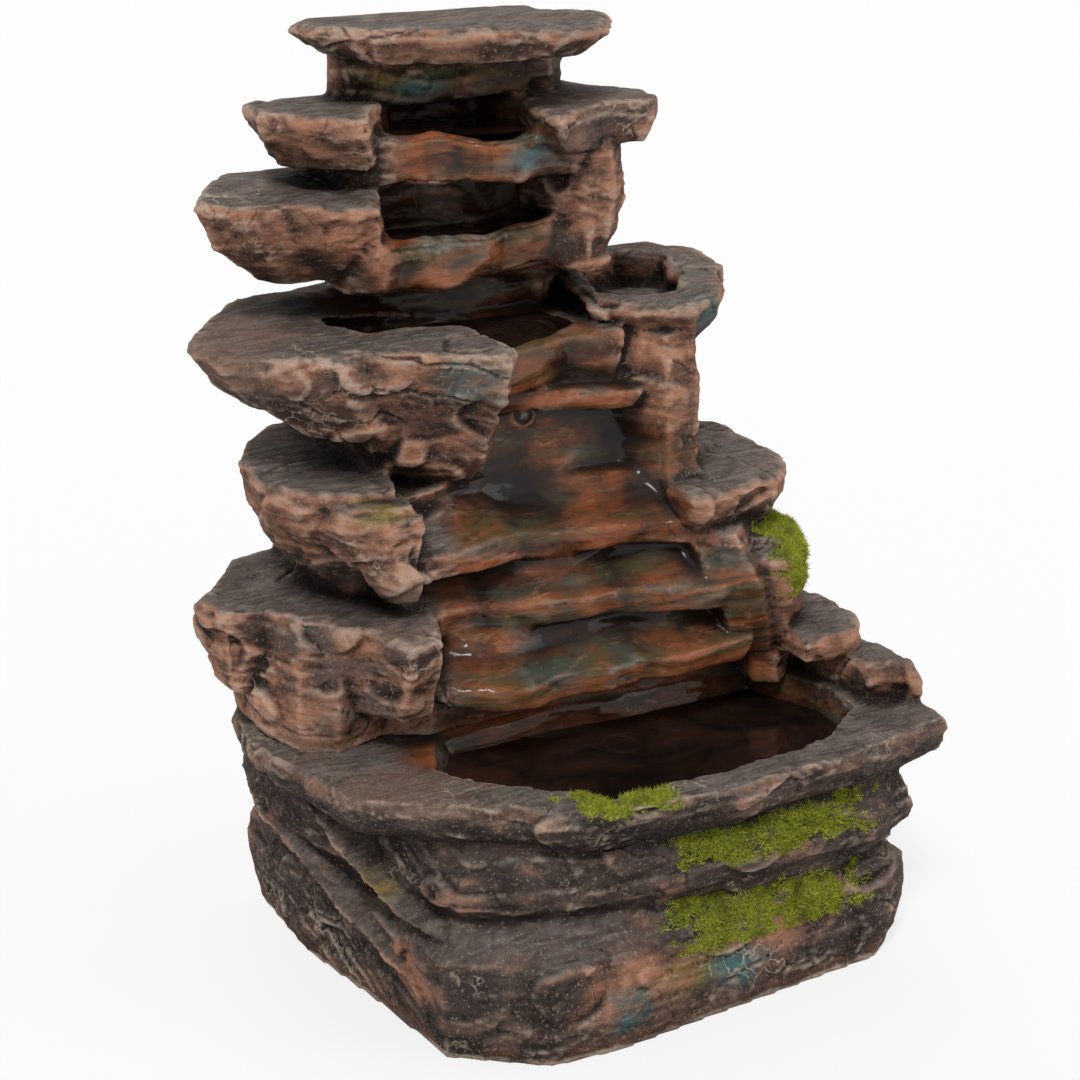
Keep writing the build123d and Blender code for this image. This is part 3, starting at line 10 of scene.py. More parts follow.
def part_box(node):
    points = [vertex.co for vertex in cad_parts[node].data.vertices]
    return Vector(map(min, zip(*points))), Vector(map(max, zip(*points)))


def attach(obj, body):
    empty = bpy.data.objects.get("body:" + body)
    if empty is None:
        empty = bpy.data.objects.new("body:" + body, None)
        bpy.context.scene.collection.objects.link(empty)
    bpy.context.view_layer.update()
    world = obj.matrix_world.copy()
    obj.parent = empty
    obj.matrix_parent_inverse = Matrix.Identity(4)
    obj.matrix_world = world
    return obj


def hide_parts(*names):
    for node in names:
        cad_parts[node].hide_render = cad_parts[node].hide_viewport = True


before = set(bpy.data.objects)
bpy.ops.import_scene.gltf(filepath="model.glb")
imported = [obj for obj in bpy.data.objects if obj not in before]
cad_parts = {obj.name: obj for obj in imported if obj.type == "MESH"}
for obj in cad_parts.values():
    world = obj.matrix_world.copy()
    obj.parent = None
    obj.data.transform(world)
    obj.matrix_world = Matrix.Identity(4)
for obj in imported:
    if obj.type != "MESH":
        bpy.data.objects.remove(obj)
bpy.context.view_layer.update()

# Basin casting
# One hollow casting of stone-filled resin: three strata of rock round a front pool, with a pump sump
# behind it. It is cast in a rubber mould, so its layers, chips and cracks are in the surface itself.
MM = 0.001
GRAIN = 1.5 * MM
ROCK_TRIANGLES = 190000
DRY_ROUNDS, WET_ROUNDS, UPPER_ROUNDS = 1, 6, 18
UPPER_LEVEL, UPPER_BLEND = 308.0, 12.0
RIDGE_ROUNDS, RIDGE_HEIGHT = 24, 2.5
FINE_ROUNDS, BROAD_ROUNDS, BROADEST_ROUNDS = 4, 26, 100
CREASE_SHARPNESS = 120.0
SHADE_RAYS, SHADE_SPREAD, SHADE_REACH = 10, 0.95, 42 * MM
FOOT_HEIGHT = 9.0
BACK_START, BACK_END, BACK_CALM = 100.0, 108.0, 0.75
BARE_MARGIN = 3.0
POOL_MIDDLE, POOL_HALF_WIDTH = (8.0, -58.0), 124.0
POOL_FRONT, POOL_BACK = 54.0, 64.0
SUMP_LOW = np.array([-92.0, 14.0, 10.0])
SUMP_HIGH = np.array([92.0, 97.0, 122.0])
RIM_LEVEL = 120.0


def lattice_noise(points, seed):
    """Smooth random relief, about -1 to 1, at an array of points one unit apart per bump."""
    rng = np.random.default_rng(seed)
    table = rng.permutation(256)
    slopes = rng.normal(size=(256, 3))
    slopes /= np.linalg.norm(slopes, axis=1)[:, None]
    cell = np.floor(points).astype(int)
    part = points - cell
    ease = part**3 * (part * (part * 6 - 15) + 10)
    total = np.zeros(len(points))
    for dx in (0, 1):
        for dy in (0, 1):
            for dz in (0, 1):
                row = table[(cell[:, 0] + dx) & 255]
                row = table[(row + cell[:, 1] + dy) & 255]
                row = table[(row + cell[:, 2] + dz) & 255]
                weight = np.ones(len(points))
                for axis, side in enumerate((dx, dy, dz)):
                    weight *= ease[:, axis] if side else 1 - ease[:, axis]
                total += weight * (slopes[row] * (part - (dx, dy, dz))).sum(1)
    return total * 1.6


def rough_noise(points, seed, octaves=4, fall=0.5):
    """Several sizes of relief added up, each half as large as the last."""
    total, height = np.zeros(len(points)), 1.0
    for i in range(octaves):
        total += height * lattice_noise(points * 2.0**i, seed + i)
        height *= fall
    return total


def chisel_facets(points, seed):
    """Flat chips at random slopes, with creases where two chips meet."""
    rng = np.random.default_rng(seed)
    table = rng.permutation(256)
    spots = rng.random((256, 3))
    slopes = rng.normal(size=(256, 3))
    cell = np.floor(points).astype(int)
    total, weights = np.zeros(len(points)), np.full(len(points), 1e-9)
    for dx in (-1, 0, 1):
        for dy in (-1, 0, 1):
            for dz in (-1, 0, 1):
                near = cell + (dx, dy, dz)
                row = table[near[:, 0] & 255]
                row = table[(row + near[:, 1]) & 255]
                row = table[(row + near[:, 2]) & 255]
                away = points - near - spots[row]
                weight = np.exp(-CREASE_SHARPNESS * (away**2).sum(1))
                total += weight * (slopes[row] * away).sum(1)
                weights += weight
    return total / weights


def soft_step(values, low, high):
    """0 below low, 1 above high, and a smooth rise between."""
    share = np.clip((values - low) / (high - low), 0, 1)
    return share * share * (3 - 2 * share)


def blur(values, edges, rounds):
    """Each point drawn towards the mean of its neighbours, some rounds over."""
    count = len(values)
    degree = np.bincount(edges.ravel(), minlength=count)[:, None]
    for _ in range(rounds):
        total = np.empty_like(values)
        for k in range(values.shape[1]):
            total[:, k] = np.bincount(edges[:, 0], values[edges[:, 1], k], count)
            total[:, k] += np.bincount(edges[:, 1], values[edges[:, 0], k], count)
        values = values + 0.6 * (total / degree - values)
    return values


def mesh_arrays(mesh):
    """A mesh's points in millimetres, its normals and its edges."""
    points = np.empty(len(mesh.vertices) * 3)
    mesh.vertices.foreach_get("co", points)
    normals = np.empty(len(mesh.vertices) * 3, np.float32)
    mesh.vertex_normals.foreach_get("vector", normals)
    edges = np.empty(len(mesh.edges) * 2, np.int32)
    mesh.edges.foreach_get("vertices", edges)
    return points.reshape(-1, 3) / MM, normals.reshape(-1, 3).astype(float), edges.reshape(-1, 2)


def finished_mesh(piece):
    """The piece's mesh with its modifiers made real."""
    bpy.context.view_layer.update()
    return bpy.data.meshes.new_from_object(piece.evaluated_get(bpy.context.evaluated_depsgraph_get()))


def rock_blank(name, node):
    """A close-grained copy of a casting, ready to be carved."""
    model = bmesh.new()
    model.from_mesh(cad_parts[node].data)
    bmesh.ops.remove_doubles(model, verts=model.verts, dist=1e-6)
    mesh = bpy.data.meshes.new(name)
    model.to_mesh(mesh)
    model.free()
    piece = bpy.data.objects.new(name, mesh)
    bpy.context.scene.collection.objects.link(piece)
    grain = piece.modifiers.new("close grain", "REMESH")
    grain.mode = "VOXEL"
    grain.voxel_size = GRAIN
    piece.data = finished_mesh(piece)
    piece.modifiers.clear()
    return piece


def bedding(points, dip, seed):
    """Height through the rock's layers, which wander, and dip where they are told to."""
    wander = 13 * lattice_noise(points / (95, 95, 70), seed)
    wander += 4 * lattice_noise(points / (38, 38, 30), seed + 1)
    return points[:, 2] + wander + dip(points)


def split_ledges(bed, thickness, seed):
    """Thin ledges that overhang a sharp groove, of uneven thickness."""
    flat = np.stack([bed / (2.3 * thickness), 0 * bed + 0.37, 0 * bed + 0.71], axis=1)
    phase = bed / thickness + 0.9 * lattice_noise(flat, seed)
    share = phase - np.floor(phase)
    return share * soft_step(1 - share, 0.0, 0.16) - 0.42


def carve(piece, keep, wet, dip, facet, seed):
    """Layers, chips, cracks and grain cut along the surface, in millimetres, but not where keep is 0."""
    points, normals, edges = mesh_arrays(piece.data)
    rock = keep(points)
    worn = wet(points)
    # a smoother base where water runs, and smoother still at the upper pools
    soft = blur(points, edges, DRY_ROUNDS)
    softer = blur(soft, edges, WET_ROUNDS - DRY_ROUNDS)
    softest = blur(softer, edges, UPPER_ROUNDS - WET_ROUNDS)
    high = soft_step(points[:, 2], UPPER_LEVEL - UPPER_BLEND, UPPER_LEVEL + UPPER_BLEND)
    softer = softer + (softest - softer) * high[:, None]
    base = soft + (softer - soft) * worn[:, None]
    base = points + (base - points) * rock[:, None]
    ridge = ((points - blur(points, edges, RIDGE_ROUNDS)) * normals).sum(1)
    ridge = np.clip(ridge / RIDGE_HEIGHT, 0, 1)
    dry = 1 - 0.85 * worn
    side = 1 - normals[:, 2] ** 2
    # ledges and chisel marks on the dry sides
    bed = bedding(base, dip, seed + 40)
    layered = soft_step(lattice_noise(base / (62, 62, 24), seed + 43), -0.15, 0.4)
    thin_beds = soft_step(lattice_noise(base / (48, 48, 20), seed + 41), 0.0, 0.4)
    relief = 1.5 * split_ledges(bed, 13.0, seed + 42) * layered * side * dry
    relief += 0.6 * split_ledges(bed, 4.7, seed + 44) * thin_beds * side * dry
    relief += facet * chisel_facets(base / (46, 46, 34), seed + 45) * (0.2 + 0.8 * side) * dry
    relief += 0.3 * facet * chisel_facets(base / (21, 21, 15), seed + 46) * (0.3 + 0.7 * side) * dry
    relief += 0.45 * rough_noise(base / (34, 34, 15), seed + 47) * dry
    # soft level ribs where water wears the rock
    falls = base + 7.0 * lattice_noise(base / (44, 44, 60), seed + 55)[:, None] * (0, 0, 1)
    relief += 0.8 * lattice_noise(falls / (80, 80, 9), seed + 48) * worn * side
    relief += 0.5 * rough_noise(falls / (34, 34, 5), seed + 49, 3) * worn
    relief += 1.1 * rough_noise(falls / (24, 24, 8), seed + 56, 3) * worn * high
    # grain, cracks and chipped edges
    relief += 0.4 * rough_noise(base / (9, 9, 3.4), seed + 50, 3) * dry
    crooked = base + 3.0 * lattice_noise(base / 14, seed + 51)[:, None]
    crack = np.abs(lattice_noise(crooked / (58, 58, 26), seed + 52))
    split = soft_step(lattice_noise(base / 70, seed + 53), 0.0, 0.3)
    relief -= 1.5 * (1 - soft_step(crack, 0.0, 0.035)) * split * dry
    chips = soft_step(lattice_noise(base / (13, 13, 8), seed + 54), 0.0, 0.4)
    relief -= 2.2 * chips * ridge * dry
    relief -= 3.6 * ridge * worn * high
    relief *= rock
    # the whole outline made ragged
    shift = np.stack([lattice_noise(base / 60, seed + 60 + k) for k in range(3)], axis=1)
    ragged = np.stack([lattice_noise(base / (34, 34, 22), seed + 70 + k) for k in range(3)], axis=1)
    ragged *= (1.3 * dry + worn * (1.0 + 2.4 * high))[:, None]
    carved = base + normals * relief[:, None] + (2.2 * shift + ragged) * rock[:, None]
    carved[:, 2] = np.maximum(carved[:, 2], 0.0)
    piece.data.vertices.foreach_set("co", (carved * MM).ravel())
    piece.data.update()
    thin = piece.modifiers.new("thin out flat parts", "DECIMATE")
    thin.ratio = min(1.0, ROCK_TRIANGLES / (2 * len(piece.data.polygons)))
    piece.data = finished_mesh(piece)
    piece.modifiers.clear()


def shut_in(piece):
    """Share of the open air over each point that nearby rock shuts off, which sets its painted shade."""
    bpy.context.view_layer.update()
    tree = BVHTree.FromObject(piece, bpy.context.evaluated_depsgraph_get())
    turns = np.random.default_rng(5).normal(size=(SHADE_RAYS, 3))
    turns = [Vector(turn).normalized() * SHADE_SPREAD for turn in turns]
    shut = np.zeros(len(piece.data.vertices))
    for i, vert in enumerate(piece.data.vertices):
        normal = vert.normal
        start = vert.co + normal * MM
        for turn in turns:
            if tree.ray_cast(start, normal + turn, SHADE_REACH)[0]:
                shut[i] += 1 / SHADE_RAYS
    return shut


def brush_masks(piece, wet, stains):
    """Where the painter's wash, painted shade, dry brush, stains and water lie, kept on the mesh."""
    points, normals, edges = mesh_arrays(piece.data)
    fine = blur(points, edges, FINE_ROUNDS)
    broad = blur(fine, edges, BROAD_ROUNDS)
    broadest = blur(broad, edges, BROADEST_ROUNDS)
    crest = ((points - fine) * normals).sum(1)
    bulge = ((points - broad) * normals).sum(1)
    brow = ((points - broadest) * normals).sum(1)
    masks = {
        "hollow": soft_step(-bulge, 0.1, 2.4),
        "bulge": soft_step(bulge, 0.2, 2.6),
        "crest": soft_step(crest, 0.1, 0.5),
        "brow": soft_step(brow, 0.5, 5.0),
        "cove": soft_step(-brow, 0.5, 5.0),
        "groove": soft_step(-crest, 0.04, 0.45),
        "top": soft_step(normals[:, 2], 0.35, 0.85),
        "under": soft_step(-normals[:, 2], 0.2, 0.8),
        "wet": wet(points),
        "recess": blur(shut_in(piece)[:, None], edges, 3)[:, 0],
    }
    for name, spots in stains.items():
        mask = np.zeros(len(points))
        ragged = 0.35 * rough_noise(points / (22, 22, 10), 300, 3)
        for x, y, z, radius in spots:
            reach = np.linalg.norm((points - (x, y, z)) / (1, 1, 0.6), axis=1) / radius
            mask = np.maximum(mask, 1 - soft_step(reach + ragged, 0.45, 1.1))
        masks[name] = mask
    for name, mask in masks.items():
        layer = piece.data.attributes.new(name, "FLOAT", "POINT")
        layer.data.foreach_set("value", mask.astype(np.float32))
    piece.data.shade_smooth()


def inside_box(points, low, high, margin):
    """1 for points in a box grown by a margin."""
    grown = (points > np.array(low) - margin) & (points < np.array(high) + margin)
    return grown.all(1).astype(float)


def basin_keep(points):
    """Carving stops in the sump and at the foot, and is low on the back."""
    keep = 1 - inside_box(points, SUMP_LOW, SUMP_HIGH, BARE_MARGIN)
    keep *= soft_step(points[:, 2], 0.0, FOOT_HEIGHT)
    return keep * (1 - BACK_CALM * soft_step(points[:, 1], BACK_START, BACK_END))


def basin_wet(points):
    """Wet inside the pool."""
    x, y, z = points.T
    depth = np.where(y < POOL_MIDDLE[1], POOL_FRONT, POOL_BACK)
    across, along = (x - POOL_MIDDLE[0]) / POOL_HALF_WIDTH, (y - POOL_MIDDLE[1]) / depth
    reach = (across**4 + along**4) ** 0.25
    edge = 118.0 + 10.0 * soft_step(y, -70.0, -40.0)
    pool = (1 - soft_step(reach, 0.86, 1.0)) * soft_step(z, 30.0, 40.0)
    return pool * (1 - soft_step(z, edge - 8.0, edge))


def basin_dip(points):
    """On the left side the layers run down towards the front corner."""
    return -0.45 * (points[:, 1] + 90) * soft_step(-points[:, 0], 92.0, 124.0)


def socket_value(made, name, value):
    """Set a socket, or link it where the value is another node's output."""
    if isinstance(value, bpy.types.NodeSocket):
        made.id_data.links.new(value, made.inputs[name])
    else:
        made.inputs[name].default_value = value


def add_node(tree, kind, values=None, **settings):
    """A new shader node with its settings and sockets filled in."""
    made = tree.nodes.new(kind)
    for name, value in settings.items():
        setattr(made, name, value)
    for name, value in (values or {}).items():
        socket_value(made, name, value)
    return made


def colour(red, green, blue):
    """A colour read off as 0 to 255, as the shader wants it."""
    parts = [c / 255 for c in (red, green, blue)]
    return [c / 12.92 if c <= 0.04045 else ((c + 0.055) / 1.055) ** 2.4 for c in parts] + [1.0]


def layer_over(tree, share, under, over):
    """One coat of colour over another."""
    made = add_node(tree, "ShaderNodeMix", data_type="RGBA", blend_type="MIX", clamp_factor=True)
    socket_value(made, 0, share)
    socket_value(made, 6, under)
    socket_value(made, 7, over)
    return made.outputs[2]


def sums(tree, operation, first, second, third=0.0):
    """A value worked out from others."""
    made = add_node(tree, "ShaderNodeMath", operation=operation)
    for i, value in enumerate((first, second, third)):
        socket_value(made, i, value)
    return made.outputs[0]


def times(tree, first, second):
    """One value scaled by another."""
    return sums(tree, "MULTIPLY", first, second)


def rest_of(tree, share):
    """What a share leaves of the whole."""
    return sums(tree, "SUBTRACT", 1.0, share)


def spread(tree, value, low, high, start=0.0, end=1.0):
    """A value stretched between two limits."""
    made = add_node(tree, "ShaderNodeMapRange", {
        "Value": value, "From Min": low, "From Max": high, "To Min": start, "To Max": end,
    }, clamp=True)
    return made.outputs["Result"]


def speckle(tree, place, scale, stretch=(1, 1, 1), detail=4.0, rough=0.55, warp=0.0):
    """Random speckle at a scale per metre, stretched along the axes."""
    turned = add_node(tree, "ShaderNodeVectorMath", {0: place, 1: stretch}, operation="MULTIPLY")
    made = add_node(tree, "ShaderNodeTexNoise", {
        "Vector": turned.outputs[0], "Scale": scale,
        "Detail": detail, "Roughness": rough, "Distortion": warp,
    })
    return made.outputs["Fac"]


def mask_of(tree, name):
    """A brush mask kept on the mesh."""
    return add_node(tree, "ShaderNodeAttribute", attribute_name=name).outputs["Fac"]


def new_group(name, inputs, outputs):
    """An empty shader group with named sockets."""
    group = bpy.data.node_groups.new(name, "ShaderNodeTree")
    for label, kind in inputs:
        group.interface.new_socket(label, in_out="INPUT", socket_type=kind)
    for label, kind in outputs:
        group.interface.new_socket(label, in_out="OUTPUT", socket_type=kind)
    return group, group.nodes.new("NodeGroupInput"), group.nodes.new("NodeGroupOutput")


def new_material(name, **sockets):
    """A material with its Principled shader's plain sockets set."""
    material = bpy.data.materials.new(name)
    material.use_nodes = True
    shader = material.node_tree.nodes["Principled BSDF"]
    for label, value in sockets.items():
        shader.inputs[label.replace("_", " ")].default_value = value
    return material, material.node_tree, shader


def stone_grain_group():
    """Grain of the cast stone: its chips, long fine lines, streaks, pits and mottle, and their height."""
    labels = ("Height", "Mottle", "Lines", "Streaks", "Pits")
    group, start, end = new_group(
        "stone grain", [("Place", "NodeSocketVector")], [(label, "NodeSocketFloat") for label in labels],
    )
    place = start.outputs["Place"]
    lines = speckle(group, place, 90.0, (0.55, 0.55, 3.4), 6.0, 0.62, 0.6)
    streaks = speckle(group, place, 130.0, (0.4, 1.5, 1.0), 6.0, 0.64, 1.1)
    pits = speckle(group, place, 620.0, (1, 1, 1), 3.0, 0.6)
    mottle = speckle(group, place, 34.0, (1, 1, 1.6), 6.0, 0.62, 0.3)
    flat = add_node(group, "ShaderNodeVectorMath", {0: place, 1: (1.0, 1.0, 2.2)}, operation="MULTIPLY")
    chips = add_node(group, "ShaderNodeTexVoronoi", {
        "Vector": flat.outputs[0], "Scale": 130.0, "Detail": 2.0, "Roughness": 0.6,
    }, feature="F1", distance="EUCLIDEAN")
    height = sums(group, "MULTIPLY_ADD", lines, 0.6, times(group, streaks, 0.4))
    height = sums(group, "MULTIPLY_ADD", pits, 0.25, height)
    height = sums(group, "MULTIPLY_ADD", chips.outputs["Distance"], -0.35, height)
    for label, value in zip(labels, (height, mottle, lines, streaks, pits)):
        socket_value(end, label, value)
    return group


def crack_lines(tree, place, scale, width):
    """Thin crooked lines, as along hair cracks."""
    wander = add_node(tree, "ShaderNodeTexNoise", {"Vector": place, "Scale": scale * 1.3, "Detail": 4.0})
    bent = add_node(tree, "ShaderNodeVectorMath", {
        0: wander.outputs["Color"], 1: [1.1 / scale] * 3, 2: place,
    }, operation="MULTIPLY_ADD")
    cells = add_node(tree, "ShaderNodeTexVoronoi", {
        "Vector": bent.outputs[0], "Scale": scale,
    }, feature="DISTANCE_TO_EDGE")
    return spread(tree, cells.outputs["Distance"], 0.0, width, 1.0, 0.0)


ROCK_COLOURS = {
    "umber": (76, 60, 53), "terracotta": (176, 122, 96), "stone": (88, 78, 74),
    "side line": (50, 40, 37), "buff": (146, 116, 98),
    "dark slate": (42, 38, 37), "pale slate": (72, 65, 62),
    "pale top": (116, 107, 100), "streaked top": (72, 64, 60),
    "dark top": (70, 62, 58), "rosy top": (120, 92, 78),
    "dark amber": (52, 31, 20), "amber": (124, 68, 36), "bright amber": (150, 82, 44),
    "olive": (72, 64, 36), "teal": (52, 66, 60),
    "wet line": (34, 23, 17), "painted wet highlight": (168, 120, 84), "painted wet shadow": (28, 20, 16),
    "ochre": (126, 108, 44), "verdigris": (70, 106, 106),
    "hollow wash and shade": (32, 26, 24), "cove wash and shade": (36, 30, 28), "dark foot": (40, 34, 32),
    "groove wash": (34, 28, 26), "painted under shade": (34, 28, 27), "pit wash": (40, 33, 31),
    "dry shade": (22, 17, 15), "wet shade": (46, 28, 18),
    "sand": (178, 156, 138), "fissure": (30, 24, 23), "cream": (200, 180, 162),
}


def rock_paint():
    """Painted rock: terracotta sides, grey tops, dark washes, painted shade and highlights, cream lines,
    stains, wet gloss.
    """
    material, tree, shader = new_material(
        "painted rock", Coat_Roughness=0.06, Coat_IOR=1.33, Specular_IOR_Level=0.06,
    )
    paint = {name: colour(*shade) for name, shade in ROCK_COLOURS.items()}
    place = add_node(tree, "ShaderNodeTexCoord").outputs["Object"]
    grain = add_node(tree, "ShaderNodeGroup", node_tree=stone_grain_group())
    socket_value(grain, "Place", place)
    lines, mottle, streaks, pits = (grain.outputs[k] for k in ("Lines", "Mottle", "Streaks", "Pits"))
    hollow, crest, groove, top = (mask_of(tree, k) for k in ("hollow", "crest", "groove", "top"))
    bulge, wet, shut_in_shade, under = (mask_of(tree, k) for k in ("bulge", "wet", "recess", "under"))
    brow, cove = mask_of(tree, "brow"), mask_of(tree, "cove")
    tone = speckle(tree, place, 12.0, (1, 1, 1.8), 5.0, 0.6, 0.5)
    patch = speckle(tree, place, 21.0, (1, 1, 1.5), 4.0, 0.6, 0.6)
    height = add_node(tree, "ShaderNodeSeparateXYZ", {0: place}).outputs["Z"]
    # dry sides, slate on the basin's lower part
    raised = sums(tree, "MULTIPLY_ADD", bulge, 0.22, sums(tree, "MULTIPLY_ADD", hollow, -0.25, mottle))
    sides = layer_over(tree, spread(tree, raised, 0.40, 0.68), paint["umber"], paint["terracotta"])
    sides = layer_over(tree, spread(tree, tone, 0.52, 0.64, 0.0, 0.85), sides, paint["stone"])
    sides = layer_over(tree, spread(tree, lines, 0.54, 0.70, 0.0, 0.65), sides, paint["side line"])
    low = spread(tree, height, 0.130, 0.114, 0.0, 0.94)
    low = times(tree, low, spread(tree, raised, 0.80, 0.56, 0.35, 1.0))
    low = times(tree, low, rest_of(tree, mask_of(tree, "salmon")))
    slate = layer_over(tree, spread(tree, mottle, 0.38, 0.62), paint["dark slate"], paint["pale slate"])
    sides = layer_over(tree, low, sides, slate)
    proud = times(tree, brow, spread(tree, mottle, 0.40, 0.62, 0.0, 0.45))
    sides = layer_over(tree, proud, sides, paint["buff"])
    # grey tops
    tops = layer_over(tree, spread(tree, streaks, 0.38, 0.62), paint["pale top"], paint["streaked top"])
    tops = layer_over(tree, spread(tree, mottle, 0.5, 0.66, 0.0, 0.6), tops, paint["dark top"])
    tops = layer_over(tree, spread(tree, tone, 0.54, 0.66, 0.0, 0.5), tops, paint["rosy top"])
    rock = layer_over(tree, times(tree, top, spread(tree, mottle, 0.25, 0.5, 0.65, 1.0)), sides, tops)
    # varnished amber with olive and teal bands where water runs, with painted highlight streaks and
    # painted shadow in the coves
    amber = layer_over(tree, spread(tree, mottle, 0.40, 0.64), paint["dark amber"], paint["amber"])
    swell = times(tree, sums(tree, "MAXIMUM", bulge, brow), 0.85)
    amber = layer_over(tree, swell, amber, paint["bright amber"])
    olive = speckle(tree, place, 26.0, (0.5, 0.5, 4.0), 4.0, 0.6, 0.4)
    amber = layer_over(tree, spread(tree, olive, 0.48, 0.62, 0.0, 0.85), amber, paint["olive"])
    teal = sums(tree, "MULTIPLY_ADD", patch, 0.6, times(tree, olive, 0.4))
    amber = layer_over(tree, spread(tree, teal, 0.53, 0.61, 0.0, 0.7), amber, paint["teal"])
    amber = layer_over(tree, spread(tree, lines, 0.50, 0.66, 0.0, 0.6), amber, paint["wet line"])
    # painted highlight streaks on the wet rock
    amber = layer_over(tree, spread(tree, streaks, 0.58, 0.70, 0.0, 0.4), amber, paint["painted wet highlight"])
    # painted shadow in the wet coves under the lips
    amber = layer_over(tree, times(tree, cove, 0.9), amber, paint["painted wet shadow"])
    rock = layer_over(tree, times(tree, wet, 0.94), rock, amber)
    # stains, then dark washes in hollows, coves and grooves, partly painted shade in hollows and coves;
    # darker towards the foot; painted shade under overhangs and in all that is shut in
    streak = spread(tree, sums(tree, "ADD", lines, mottle), 0.8, 1.12, 0.95, 0.15)
    for stain in ("ochre", "verdigris"):
        rock = layer_over(tree, times(tree, mask_of(tree, stain), streak), rock, paint[stain])
    # dark wash in hollows and coves, partly painted shade
    rock = layer_over(tree, times(tree, hollow, 0.74), rock, paint["hollow wash and shade"])
    rock = layer_over(tree, times(tree, cove, 0.5), rock, paint["cove wash and shade"])
    # darker towards the foot
    rock = layer_over(tree, spread(tree, height, 0.024, 0.004, 0.0, 0.75), rock, paint["dark foot"])
    rock = layer_over(tree, times(tree, groove, 0.65), rock, paint["groove wash"])
    # painted shade on surfaces that face down under overhangs
    rock = layer_over(tree, times(tree, under, 0.72), rock, paint["painted under shade"])
    # painted shade where nearby rock shuts a point in
    shade = layer_over(tree, wet, paint["dry shade"], paint["wet shade"])
    rock = layer_over(tree, spread(tree, shut_in_shade, 0.30, 0.80, 0.0, 0.92), rock, shade)
    # pits, sand grains, hair cracks and the cream dry brush on edges, which on wet edges is partly a
    # painted highlight
    rock = layer_over(tree, spread(tree, pits, 0.60, 0.74, 0.0, 0.4), rock, paint["pit wash"])
    sand = times(tree, spread(tree, pits, 0.42, 0.30, 0.0, 0.45), rest_of(tree, shut_in_shade))
    rock = layer_over(tree, times(tree, sand, rest_of(tree, wet)), rock, paint["sand"])
    fissure = times(tree, crack_lines(tree, place, 30.0, 0.02), spread(tree, tone, 0.46, 0.38))
    rock = layer_over(tree, times(tree, fissure, 0.7), rock, paint["fissure"])
    dull = rest_of(tree, times(tree, wet, 0.65))
    cream = times(tree, crack_lines(tree, place, 88.0, 0.04), spread(tree, patch, 0.57, 0.66))
    cream = times(tree, cream, rest_of(tree, wet))
    # on the wet lips the cream edge stands in for a painted highlight
    edge = times(tree, crest, spread(tree, patch, 0.42, 0.58, 0.1, 0.8))
    brush_and_highlight = times(tree, sums(tree, "MAXIMUM", cream, edge), dull)
    brush_and_highlight = times(tree, brush_and_highlight, spread(tree, pits, 0.3, 0.55, 0.2, 0.75))
    rock = layer_over(tree, brush_and_highlight, rock, paint["cream"])
    socket_value(shader, "Base Color", rock)
    # wet gloss, and a film of water that smooths the grain
    shine = times(tree, wet, spread(tree, top, 0.0, 1.0, 0.48, 0.1))
    socket_value(shader, "Roughness", sums(tree, "SUBTRACT", 0.74, shine))
    gloss = times(tree, spread(tree, shut_in_shade, 0.15, 0.6, 0.8, 0.15), spread(tree, top, 0.0, 1.0, 1.0, 0.2))
    socket_value(shader, "Coat Weight", times(tree, wet, gloss))
    ripple = speckle(tree, place, 60.0, (0.7, 0.7, 2.0), 3.0, 0.5, 0.5)
    ripple = times(tree, ripple, 1.9)
    film = layer_over(tree, times(tree, wet, 0.8), grain.outputs["Height"], ripple)
    bump = add_node(tree, "ShaderNodeBump", {"Strength": 0.75, "Distance": 0.0016, "Height": film})
    socket_value(shader, "Normal", bump.outputs["Normal"])
    return material


ROCK_PAINT = rock_paint()
basin_rock = rock_blank("basin_rock", "basin_casting")
carve(basin_rock, basin_keep, basin_wet, basin_dip, 4.4, 100)
brush_masks(basin_rock, basin_wet, {
    "salmon": [(-36.0, -130.0, 26.0, 44.0), (40.0, -128.0, 34.0, 40.0), (-126.0, -70.0, 30.0, 26.0)],
    "verdigris": [(-40.0, -130.0, 20.0, 24.0), (20.0, -126.0, 22.0, 24.0)],
    "ochre": [(-14.0, -128.0, 26.0, 26.0), (-128.0, -40.0, 66.0, 22.0)],
})
basin_rock.data.materials.clear()
basin_rock.data.materials.append(ROCK_PAINT)
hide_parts("basin_casting")
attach(basin_rock, "fountain")

# Cascade casting
# The second casting of stone-filled resin, bedded on the basin's rim: slabs, boulders and water-worn
# lips round a trunk that is hollow behind for the pump. The way that the water takes is varnished.
CHANNEL_LEVELS = [118, 150, 182, 197, 201, 230, 240, 262, 277, 300, 310, 352, 362, 402, 434]
CHANNEL_LEFT = [-78, -78, -76, -74, -70, -66, -60, -42, -40, -40, -96, -90, -74, -66, -56]
CHANNEL_RIGHT = [104, 98, 90, 84, 52, 50, 66, 44, 40, 30, 24, 14, 14, 22, 20]
CHANNEL_FRONT = [-60, -60, -60, -60, -60, -50, -40, -30, -20, -12, 20, 20, 30, 15, 40]
CHAMBER_TOP, CHAMBER_TAPER = 280.0, 0.55
CHAMBER_MIDDLE, CHAMBER_LEFT, CHAMBER_RIGHT = -8.0, 76.0, 92.0
CHAMBER_BACK, CHAMBER_DEPTH = 97.0, 75.0
HATCH_LOW, HATCH_HIGH = np.array([-75.4, 70.0, 127.6]), np.array([59.4, 120.0, 268.4])
HOSE_SHAFT_LOW, HOSE_SHAFT_HIGH = np.array([-37.0, 77.0, 275.0]), np.array([-3.0, 97.0, 384.0])
OUTLET_PLACE, OUTLET_LEVEL = (-20.0, 88.0), 391.0
LAMP_PLACE = (-11.0, 264.0)
GROMMET_PLACE = (76.0, 148.0)


